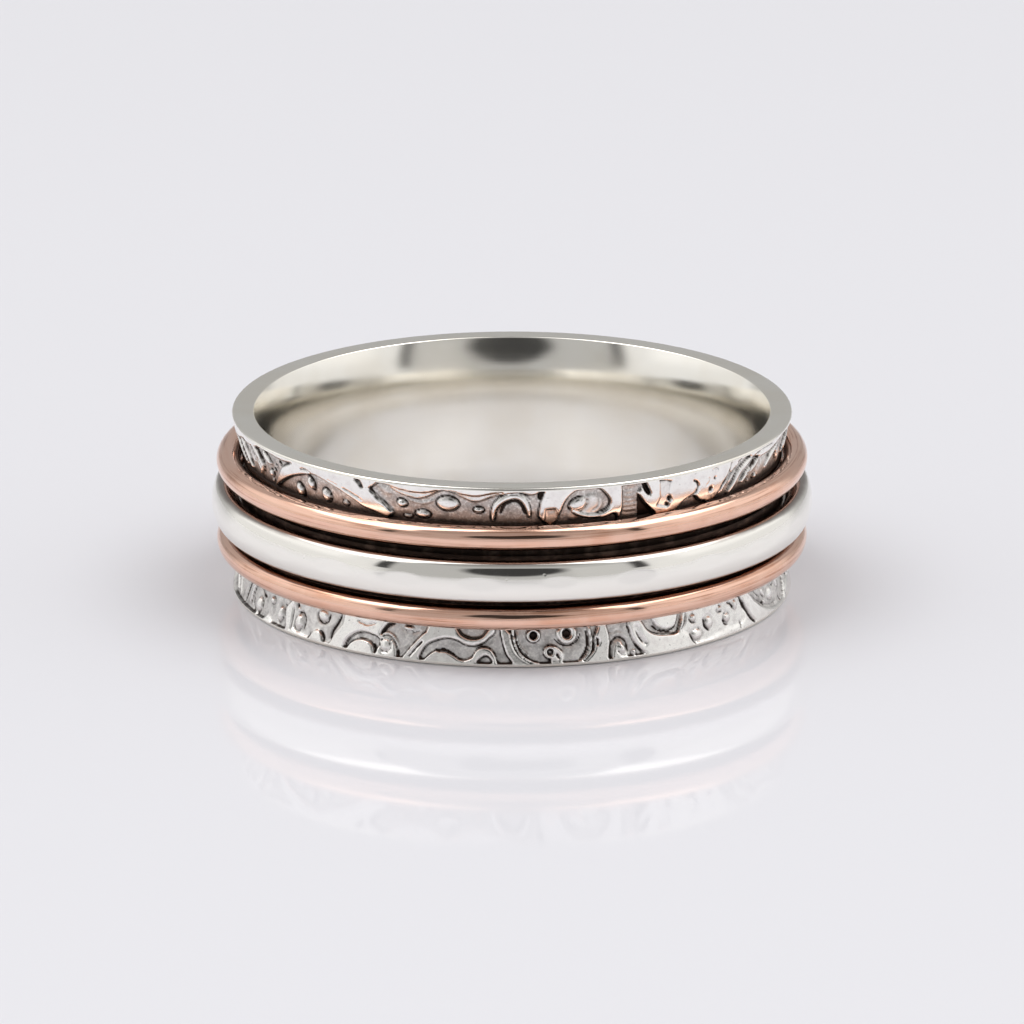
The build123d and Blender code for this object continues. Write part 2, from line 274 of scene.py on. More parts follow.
@dataclass(frozen=True)
class OxidisedCastSilver:
    """Cast silver with dark patina left in its grounds and corners, painted shade in its wider
    hollows and on its grounds above the upper wire, and bright rubbed tops.
    """

    polished: Colour = (0.965, 0.945, 0.91)
    dull: Colour = (0.84, 0.80, 0.775)
    upper_ground: Colour = (0.66, 0.615, 0.585)
    lower_ground: Colour = (0.78, 0.76, 0.74)
    oxide_and_painted_shade: Colour = (0.042, 0.031, 0.027)
    top_roughness: float = 0.20
    ground_roughness: float = 0.48
    grain_scale: float = 11000
    patch_scale: float = 3200
    wear_scale: float = 900
    lump_scale: float = 4200
    lump_height: float = 0.014 * MM
    grain_height: float = 0.010 * MM
    middle_stretch: Place = (2.6 * MM, 4.2 * MM)
    painted_wire_shade_heights: Place = (5.15 * MM, 5.62 * MM)

    def material(self) -> bpy.types.Material:
        """Builds the material, which reads the attribute ground and the attribute of patina and
        painted shade.
        """
        metal, sheet, shader = new_finish("oxidised_cast_silver")
        place = sheet.place()
        up = sheet.parts(place)[2]
        ground = sheet.add("ShaderNodeAttribute", attribute_name="ground").outputs["Fac"]
        oxide_and_painted_shade = sheet.add("ShaderNodeAttribute", attribute_name="oxide_and_painted_shade").outputs["Fac"]
        grain = sheet.noise(place, self.grain_scale, 2, 0.6)
        patches = sheet.noise(place, self.patch_scale, 3, 0.6)
        wear = sheet.noise(place, self.wear_scale, 4, 0.6)

        upper = sheet.ease(up, *self.middle_stretch)
        tone = sheet.blend(upper, self.lower_ground, self.upper_ground)
        lit = sheet.blend(sheet.ease(grain, 0.48, 0.62, 0.0, 0.8), tone, self.polished)
        grounded = sheet.blend(sheet.ease(patches, 0.42, 0.70, 0.0, 0.38), lit, self.oxide_and_painted_shade)
        rubbed = sheet.blend(sheet.ease(patches, 0.46, 0.66, 0.0, 0.65), self.polished, self.dull)
        rubbed = sheet.blend(sheet.ease(grain, 0.64, 0.76, 0.0, 0.5), rubbed, self.oxide_and_painted_shade)
        skin = sheet.blend(ground, rubbed, grounded)
        # Painted shade on the upper grounds just above the upper copper wire.
        shade = sheet.ease(up, *self.painted_wire_shade_heights, 0.8, 0.0)
        painted_wire_shade = sheet.sum("MULTIPLY", sheet.sum("MULTIPLY", shade, upper), ground)
        skin = sheet.blend(painted_wire_shade, skin, self.oxide_and_painted_shade)
        # The second attribute holds patina in corners and pits, painted shade in the wider hollows,
        # and darkening on the steep banks.
        uneven = sheet.sum("MULTIPLY_ADD", sheet.sum("SUBTRACT", patches, 0.5), 0.9, 1.0)
        patina_and_shade_share = sheet.ease(sheet.sum("MULTIPLY", oxide_and_painted_shade, uneven), 0.16, 0.80)
        sheet.join(sheet.blend(patina_and_shade_share, skin, self.oxide_and_painted_shade), shader.inputs["Base Color"])

        smooth = sheet.ease(wear, 0.3, 0.7, self.top_roughness * 0.75, self.top_roughness * 1.3)
        matt = sheet.ease(ground, 0.2, 0.9, 0.0, self.ground_roughness - self.top_roughness)
        sheet.join(sheet.sum("ADD", smooth, matt), shader.inputs["Roughness"])

        lumps = sheet.noise(place, self.lump_scale, 3, 0.55)
        soft = sheet.bump(lumps, self.lump_height, sheet.ease(ground, 0.0, 1.0, 0.40, 1.0))
        fine = sheet.bump(grain, self.grain_height, sheet.ease(ground, 0.1, 1.0, 0.06, 1.0), soft)
        sheet.join(fine, shader.inputs["Normal"])
        return metal


@dataclass(frozen=True)
class TrackPatinaAndPaintedShade:
    """Dark colour on the track behind the loose rings: patina that polishing doesn't reach, and
    painted shade for the deep gaps between the rings.
    """

    colour: Colour = (0.10, 0.072, 0.060)
    worn: Colour = (0.30, 0.22, 0.18)
    roughness: float = 0.45
    cloud_scale: float = 1500

    def material(self) -> bpy.types.Material:
        """Builds the material."""
        metal, sheet, shader = new_finish("track_patina_and_painted_shade")
        clouds = sheet.noise(sheet.place(), self.cloud_scale, 3, 0.6)
        tint = sheet.blend(sheet.ease(clouds, 0.45, 0.75), self.colour, self.worn)
        sheet.join(tint, shader.inputs["Base Color"])
        shader.inputs["Roughness"].default_value = self.roughness
        return metal


@dataclass(frozen=True)
class SatinBoreSilver:
    """Satin silver of the rims and the bore, with fine marks that run round it."""

    colour: Colour = (0.955, 0.93, 0.87)
    cloudy: Colour = (0.91, 0.87, 0.79)
    roughness: float = 0.15
    cloud_scale: float = 380
    rub_scale: float = 9000
    rub_height: float = 0.0010 * MM
    drift: float = 0.25 * MM

    def material(self) -> bpy.types.Material:
        """Builds the material."""
        metal, sheet, shader = new_finish("satin_bore_silver")
        clouds = sheet.noise(sheet.place(), self.cloud_scale, 3, 0.5)
        tint = sheet.blend(sheet.ease(clouds, 0.35, 0.70), self.colour, self.cloudy)
        sheet.join(tint, shader.inputs["Base Color"])
        rough = sheet.ease(clouds, 0.25, 0.75, self.roughness * 0.75, self.roughness * 1.3)
        sheet.join(rough, shader.inputs["Roughness"])
        rubs = sheet.noise(sheet.lathe_place(self.drift), self.rub_scale, 2, 0.5)
        sheet.join(sheet.bump(rubs, self.rub_height, 0.5), shader.inputs["Normal"])
        return metal


@dataclass(frozen=True)
class PolishedSpinnerSilver:
    """Bright silver of the middle spinner, with soft handling marks and painted shade on its
    shoulders next to the copper rings.
    """

    colour: Colour = (0.94, 0.915, 0.86)
    # Painted shade colour for the shoulders.
    tarnish_and_shade: Colour = (0.20, 0.15, 0.13)
    roughness: float = 0.07
    middle: float = 3.375 * MM
    unshaded_half: float = 0.64 * MM
    painted_shade_half: float = 0.80 * MM
    edge_waver: float = 0.10 * MM
    cloud_scale: float = 700
    scratch_scale: float = 14000
    scratch_height: float = 0.0010 * MM
    drift: float = 0.5 * MM
    pit_scale: float = 3000
    pit_depth: float = 0.004 * MM

    def material(self) -> bpy.types.Material:
        """Builds the material, with faint scratches and small pits."""
        metal, sheet, shader = new_finish("polished_spinner_silver")
        place = sheet.place()
        clouds = sheet.noise(place, self.cloud_scale, 4, 0.6)
        up = sheet.parts(place)[2]
        # Painted shade darkens the shoulders, which face the gaps to the copper rings.
        aside = sheet.sum("ABSOLUTE", sheet.sum("SUBTRACT", up, self.middle))
        spread = sheet.sum("MULTIPLY_ADD", clouds, self.edge_waver, aside)
        painted_shoulder_shade = sheet.ease(spread, self.unshaded_half, self.painted_shade_half, 0.0, 0.9)
        sheet.join(sheet.blend(painted_shoulder_shade, self.colour, self.tarnish_and_shade), shader.inputs["Base Color"])
        rough = sheet.ease(clouds, 0.3, 0.75, self.roughness * 0.6, self.roughness * 1.8)
        sheet.join(rough, shader.inputs["Roughness"])
        scratches = sheet.noise(sheet.lathe_place(self.drift), self.scratch_scale, 2, 0.6)
        pits = sheet.ease(sheet.noise(place, self.pit_scale, 1, 0.4), 0.73, 0.80, 1.0, 0.0)
        dents = sheet.bump(pits, self.pit_depth, 0.6)
        sheet.join(sheet.bump(scratches, self.scratch_height, 0.4, dents), shader.inputs["Normal"])
        return metal


@dataclass(frozen=True)
class RoseCopper:
    """Polished rose copper wire, with draw lines, faint tarnished patches and painted shade along
    its inner side, next to the band.
    """

    colour: Colour = (0.92, 0.60, 0.468)
    tarnish_and_shade: Colour = (0.82, 0.45, 0.31)
    streak: Colour = (0.46, 0.22, 0.13)
    roughness: float = 0.09
    drift: float = 0.25 * MM
    line_scale: float = 5200
    line_depth: float = 0.016 * MM
    fine_scale: float = 9500
    fine_depth: float = 0.0020 * MM
    cloud_scale: float = 520
    # Radii over which the painted shade on the inner side fades out.
    painted_shade_radii: Place = (10.05 * MM, 10.32 * MM)

    def material(self) -> bpy.types.Material:
        """Builds the material, whose draw lines run along the wire."""
        metal, sheet, shader = new_finish("rose_copper")
        drawn = sheet.lathe_place(self.drift)
        lines = sheet.noise(drawn, self.line_scale, 3, 0.55)
        fine_lines = sheet.noise(drawn, self.fine_scale, 2, 0.5)
        clouds = sheet.noise(sheet.place(), self.cloud_scale, 4, 0.6)
        faded = sheet.sum("MULTIPLY", sheet.ease(clouds, 0.35, 0.75), sheet.ease(lines, 0.35, 0.65))
        tint = sheet.blend(faded, self.colour, self.tarnish_and_shade)
        marks = sheet.sum("MULTIPLY", sheet.ease(fine_lines, 0.52, 0.68),
                          sheet.ease(clouds, 0.30, 0.62, 0.25, 0.75))
        tint = sheet.blend(marks, tint, self.streak)
        # Painted shade on the inner side of the wire, where it faces the band.
        inside = sheet.ease(sheet.radius(), *self.painted_shade_radii, 0.55, 0.0)
        sheet.join(sheet.blend(inside, tint, self.streak), shader.inputs["Base Color"])
        rough = sheet.ease(lines, 0.3, 0.75, self.roughness * 0.7, self.roughness * 1.7)
        sheet.join(rough, shader.inputs["Roughness"])
        grooves = sheet.bump(lines, self.line_depth, 0.7)
        sheet.join(sheet.bump(fine_lines, self.fine_depth, 0.6, grooves), shader.inputs["Normal"])
        return metal


@dataclass(frozen=True)
class GlossyAcrylic:
    """White acrylic sheet with a soft mirror surface."""

    colour: Colour = (0.845, 0.842, 0.885)
    roughness: float = 0.05
    ior: float = 1.22

    def material(self) -> bpy.types.Material:
        """Builds the material."""
        acrylic, _, shader = new_finish("glossy_acrylic", metallic=0.0)
        shader.inputs["Base Color"].default_value = (*self.colour, 1.0)
        shader.inputs["Roughness"].default_value = self.roughness
        shader.inputs["IOR"].default_value = self.ior
        return acrylic


def edit(piece: bpy.types.Object) -> None:
    """Selects one piece alone and opens it in edit mode."""
    bpy.ops.object.select_all(action="DESELECT")
    piece.select_set(True)
    bpy.context.view_layer.objects.active = piece
    bpy.ops.object.mode_set(mode="EDIT")
    bpy.ops.mesh.select_mode(type="VERT")


def close_edit() -> None:
    """Leaves edit mode."""
    bpy.ops.object.mode_set(mode="OBJECT")


def turned_strip(name: str, profile: Sequence[Place], steps: int, closed: bool = False
                 ) -> bpy.types.Object:
    """Draws a profile from one vertex and spins it round the axis of the bore.

    One sector is spun first and then copied round, which is much faster than one long spin.

    Args:
        name: Name of the new piece.
        profile: Radius and height of each corner, in metres.
        steps: Number of columns round the axis, a multiple of the number of sectors.
        closed: Whether the profile's end meets its start.

    Returns:
        The strip, with its place in its mesh.
    """
    bpy.ops.object.select_all(action="DESELECT")
    bpy.ops.mesh.primitive_plane_add(size=MM)
    piece = bpy.context.object
    piece.name = piece.data.name = name
    edit(piece)
    bpy.ops.mesh.select_all(action="SELECT")
    bpy.ops.mesh.merge(type="CENTER")
    bpy.ops.transform.translate(value=(profile[0][0], 0, profile[0][1]))
    corners = [*profile, profile[0]] if closed else list(profile)
    for (radius_a, up_a), (radius_b, up_b) in zip(corners, corners[1:]):
        bpy.ops.mesh.extrude_region_move(
            TRANSFORM_OT_translate={"value": (radius_b - radius_a, 0, up_b - up_a)})
    bpy.ops.mesh.select_all(action="SELECT")
    if closed:
        bpy.ops.mesh.remove_doubles(threshold=WELD)
    sector = 2 * pi / SECTORS
    bpy.ops.mesh.spin(steps=steps // SECTORS, angle=sector, center=(0, 0, 0), axis=(0, 0, 1))
    bpy.ops.mesh.select_all(action="SELECT")
    bpy.ops.mesh.spin(steps=SECTORS - 1, dupli=True, angle=2 * pi - sector, center=(0, 0, 0),
                      axis=(0, 0, 1))
    bpy.ops.mesh.select_all(action="SELECT")
    bpy.ops.mesh.remove_doubles(threshold=WELD)
    close_edit()
    return piece


def vertex_places(piece: bpy.types.Object) -> np.ndarray:
    """Coordinates of a piece's vertices, one row each."""
    places = np.empty(len(piece.data.vertices) * 3)
    piece.data.vertices.foreach_get("co", places)
    return places.reshape(-1, 3)


def place_vertices(piece: bpy.types.Object, places: np.ndarray) -> None:
    """Moves a piece's vertices to new coordinates."""
    piece.data.vertices.foreach_set("co", places.astype(np.float32).ravel())
    piece.data.update()


def face_outwards(piece: bpy.types.Object) -> None:
    """Turns all faces outwards and shades the piece smooth."""
    edit(piece)
    bpy.ops.mesh.select_all(action="SELECT")
    bpy.ops.mesh.normals_make_consistent(inside=False)
    close_edit()
    bpy.ops.object.shade_smooth()


def hand_over(piece: bpy.types.Object, node: str, body: Body,
              materials: Sequence[bpy.types.Material]) -> None:
    """Gives a piece its materials and puts it in a CAD node's place.

    Args:
        piece: Finished piece.
        node: CAD node that it stands for.
        body: Body that it rides on.
        materials: Materials in the order of the piece's slots.
    """
    for material in materials:
        piece.data.materials.append(material)
    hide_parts(node)
    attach(piece, body.value)
    log.info("%s stands for %s and rides on %s, %d faces", piece.name, node, body.value,
             len(piece.data.polygons))


def eased(value: np.ndarray, low: float, high: float) -> np.ndarray:
    """Smooth step from 0 at low to 1 at high."""
    share = np.clip((value - low) / (high - low), 0, 1)
    return share * share * (3 - 2 * share)


def rounded_chain(points: Sequence[Place], closed: bool, cuts: int = 4) -> np.ndarray:
    """Lays a smooth line through chart points.

    Args:
        points: Points in the order of the line.
        closed: Whether the line returns to its start.
        cuts: Pieces that each stretch is divided into.

    Returns:
        Points of the smooth line, one row each.
    """
    known = np.array(points, float)
    count = len(known)
    if closed:
        before, after, later = np.roll(known, 1, 0), np.roll(known, -1, 0), np.roll(known, -2, 0)
        starts = known
    else:
        padded = np.vstack([2 * known[0] - known[1], known, 2 * known[-1] - known[-2]])
        before, starts, after, later = padded[:count - 1], known[:-1], known[1:], padded[3:]
    line = []
    for share in np.arange(cuts) / cuts:
        line.append(0.5 * (2 * starts + (after - before) * share
                           + (2 * before - 5 * starts + 4 * after - later) * share**2
                           + (3 * starts - before - 3 * after + later) * share**3))
    line = np.stack(line, 1).reshape(-1, 2)
    return line if closed else np.vstack([line, known[-1]])


def distance_to_line(spots: np.ndarray, line: np.ndarray, closed: bool
                     ) -> tuple[np.ndarray, np.ndarray]:
    """Distance from each spot to a line of short stretches.

    Args:
        spots: Places to measure from, one row each.
        line: Points of the line, one row each.
        closed: Whether the line returns to its start.

    Returns:
        The distance of each spot, and its share of the way along the line.
    """
    starts = line if closed else line[:-1]
    ends = np.roll(line, -1, 0) if closed else line[1:]
    runs = np.hypot(*(ends - starts).T)
    travelled = np.concatenate([[0], np.cumsum(runs)])
    nearest = np.full(len(spots), np.inf)
    along = np.zeros(len(spots))
    for index, (start, end) in enumerate(zip(starts, ends)):
        run = end - start
        share = np.clip(((spots - start) @ run) / max(run @ run, 1e-12), 0, 1)
        gap = np.hypot(*(spots - start - share[:, None] * run).T)
        closer = gap < nearest
        nearest[closer] = gap[closer]
        along[closer] = (travelled[index] + share[closer] * runs[index]) / travelled[-1]
    return nearest, along


def is_inside(spots: np.ndarray, line: np.ndarray) -> np.ndarray:
    """Tells which spots lie inside a closed line."""
    inside = np.zeros(len(spots), bool)
    for (x_a, y_a), (x_b, y_b) in zip(line, np.roll(line, -1, 0)):
        if y_a == y_b:
            continue
        crosses = (spots[:, 1] > min(y_a, y_b)) & (spots[:, 1] <= max(y_a, y_b))
        inside ^= crosses & (spots[:, 0] < x_a + (spots[:, 1] - y_a) / (y_b - y_a) * (x_b - x_a))
    return inside


@dataclass(frozen=True)
class ChartScale:
    """Turns chart places, in degrees and millimetres, into millimetres on the skin."""

    mm_per_degree: float

    def spots(self, points: Sequence[Place]) -> np.ndarray:
        """Places on the skin of some chart points, one row each."""
        flat = np.array(points, float)
        flat[:, 0] *= self.mm_per_degree
        return flat


class Motif(ABC):
    """One form of the cast relief."""

    margin: ClassVar[float] = 0.3

    @abstractmethod
    def corners(self, scale: ChartScale) -> np.ndarray:
        """Places that the motif lies between, one row each."""

    @abstractmethod
    def shape(self, level: np.ndarray, spots: np.ndarray, scale: ChartScale) -> np.ndarray:
        """Changes the level at some spots, and returns the new level."""

    def covers(self, spots: np.ndarray, scale: ChartScale) -> np.ndarray:
        """Tells which spots are near enough for the motif to change them."""
        corners = self.corners(scale)
        low, high = corners.min(0) - self.margin, corners.max(0) + self.margin
        return ((spots > low) & (spots < high)).all(1)


class OutlineMotif(Motif):
    """A form inside a closed outline, with a bank along the outline."""

    outline: tuple[Place, ...]
    bank: float
    curved: bool

    def corners(self, scale: ChartScale) -> np.ndarray:
        """Corners of the outline."""
        return scale.spots(self.outline)

    def inner_share(self, spots: np.ndarray, scale: ChartScale) -> np.ndarray:
        """1 inside the outline and 0 outside it, eased over the bank."""
        line = scale.spots(self.outline)
        if self.curved:
            line = rounded_chain(line, True)
        gap, _ = distance_to_line(spots, line, True)
        return eased(np.where(is_inside(spots, line), gap, -gap), -self.bank / 2, self.bank / 2)


class LineMotif(Motif):
    """A form along a line, which may thin towards its ends."""

    points: tuple[Place, ...]
    wide: float
    taper: float
    thinning: ClassVar[int] = 2

    def corners(self, scale: ChartScale) -> np.ndarray:
        """Points of the line."""
        return scale.spots(self.points)

    def reach(self, spots: np.ndarray, scale: ChartScale) -> tuple[np.ndarray, np.ndarray]:
        """Distance of each spot from the line, and half of the form's width there."""
        gap, along = distance_to_line(spots, rounded_chain(scale.spots(self.points), False), False)
        return gap, self.wide / 2 * (1 - self.taper * np.abs(2 * along - 1) ** self.thinning)


class RoundMotif(Motif):
    """A form round a middle."""

    azimuth: float
    height: float

    @abstractmethod
    def size(self) -> float:
        """Widest measure of the form."""

    def middle(self, scale: ChartScale) -> np.ndarray:
        """Place of the middle."""
        return scale.spots(((self.azimuth, self.height),))[0]

    def corners(self, scale: ChartScale) -> np.ndarray:
        """Corners of a square round the middle."""
        middle, reach = self.middle(scale), self.size() / 2
        return np.vstack([middle - reach, middle + reach])


@dataclass(frozen=True)
class Ground(OutlineMotif):
    """A stretch of the skin that was cut back, given by the outline of its floor."""

    outline: tuple[Place, ...]
    floor: float = 0.0
    bank: float = 0.075
    curved: bool = True

    def shape(self, level: np.ndarray, spots: np.ndarray, scale: ChartScale) -> np.ndarray:
        """Lowers the level inside the outline to the floor."""
        depth = self.inner_share(spots, scale)
        return np.minimum(level, 1 - depth * (1 - self.floor))


@dataclass(frozen=True)
class Bead(RoundMotif):
    """A domed oval, lit on its crown, in a thin moat of oxide."""

    azimuth: float
    height: float
    wide: float
    tall: float
    lean: float = 0.0
    crown: float = 1.0

    moat_width: ClassVar[float] = 0.075
    # A domed oval, lit on its crown, in a thin moat that is darkened with patina and painted shade.
    moat_depth: ClassVar[float] = 0.20
    moat_start: ClassVar[float] = 0.9
    fullness: ClassVar[float] = 2.6
    most_cover: ClassVar[float] = 0.05

    def size(self) -> float:
        """The longer of the oval's two measures."""
        return max(self.wide, self.tall)

    def shape(self, level: np.ndarray, spots: np.ndarray, scale: ChartScale) -> np.ndarray:
        """Raises the dome and cuts the moat round it."""
        turn = radians(self.lean)
        away = spots - self.middle(scale)
        across = (away[:, 0] * cos(turn) + away[:, 1] * sin(turn)) / (self.wide / 2)
        upright = (away[:, 1] * cos(turn) - away[:, 0] * sin(turn)) / (self.tall / 2)
        reach = np.hypot(across, upright)
        moat = 1 - eased(np.abs((reach - 1) * (min(self.wide, self.tall) / 2)), 0.0,
                         self.moat_width)
        level = np.where(reach > self.moat_start, level - self.moat_depth * moat, level)
        dome = self.crown * np.sqrt(np.clip(1 - reach**self.fullness, 0, 1))
        covered = np.maximum(dome, np.minimum(level, dome + self.most_cover))
        return np.where(reach < 1, covered, level)


@dataclass(frozen=True)
class Ridge(LineMotif):
    """A rounded rib along a line."""

    points: tuple[Place, ...]
    wide: float
    crown: float = 1.0
    taper: float = 0.35

    fullness: ClassVar[float] = 2.4

    def shape(self, level: np.ndarray, spots: np.ndarray, scale: ChartScale) -> np.ndarray:
        """Raises the rib over the level."""
        gap, half = self.reach(spots, scale)
        rib = self.crown * np.sqrt(np.clip(1 - (gap / half) ** self.fullness, 0, 1))
        return np.where(gap < half, np.maximum(level, rib), level)


@dataclass(frozen=True)
class Groove(LineMotif):
    """A cut along a line, with a round floor."""

    points: tuple[Place, ...]
    wide: float
    depth: float = 0.7
    taper: float = 0.7

    thinning: ClassVar[int] = 3

    def shape(self, level: np.ndarray, spots: np.ndarray, scale: ChartScale) -> np.ndarray:
        """Cuts the line into the level."""
        gap, half = self.reach(spots, scale)
        return level - self.depth * (1 - eased(gap, half * 0.35, half * 1.15))


@dataclass(frozen=True)
class Plateau(OutlineMotif):
    """A flat-topped raised shape inside an outline."""

    outline: tuple[Place, ...]
    top: float = 1.0
    bank: float = 0.08
    curved: bool = True

    def shape(self, level: np.ndarray, spots: np.ndarray, scale: ChartScale) -> np.ndarray:
        """Raises the level inside the outline to the top."""
        return level + self.inner_share(spots, scale) * (self.top - level)


@dataclass(frozen=True)
class Eyelet(RoundMotif):
    """A small raised ring with a pit in the middle."""

    azimuth: float
    height: float
    across: float
    pit: float
    crown: float = 0.95

    pit_depth: ClassVar[float] = 0.25

    def size(self) -> float:
        """Width over the ring."""
        return self.across

    def shape(self, level: np.ndarray, spots: np.ndarray, scale: ChartScale) -> np.ndarray:
        """Raises the ring and cuts its pit."""
        reach = np.hypot(*(spots - self.middle(scale)).T)
        ring_radius = (self.across + self.pit) / 4
        half = (self.across - self.pit) / 4
        ring = self.crown * np.sqrt(np.clip(1 - ((reach - ring_radius) / half) ** 2, 0, 1))
        level = np.maximum(level, ring)
        return np.where(reach < self.pit / 2, np.minimum(level, ring - self.pit_depth), level)


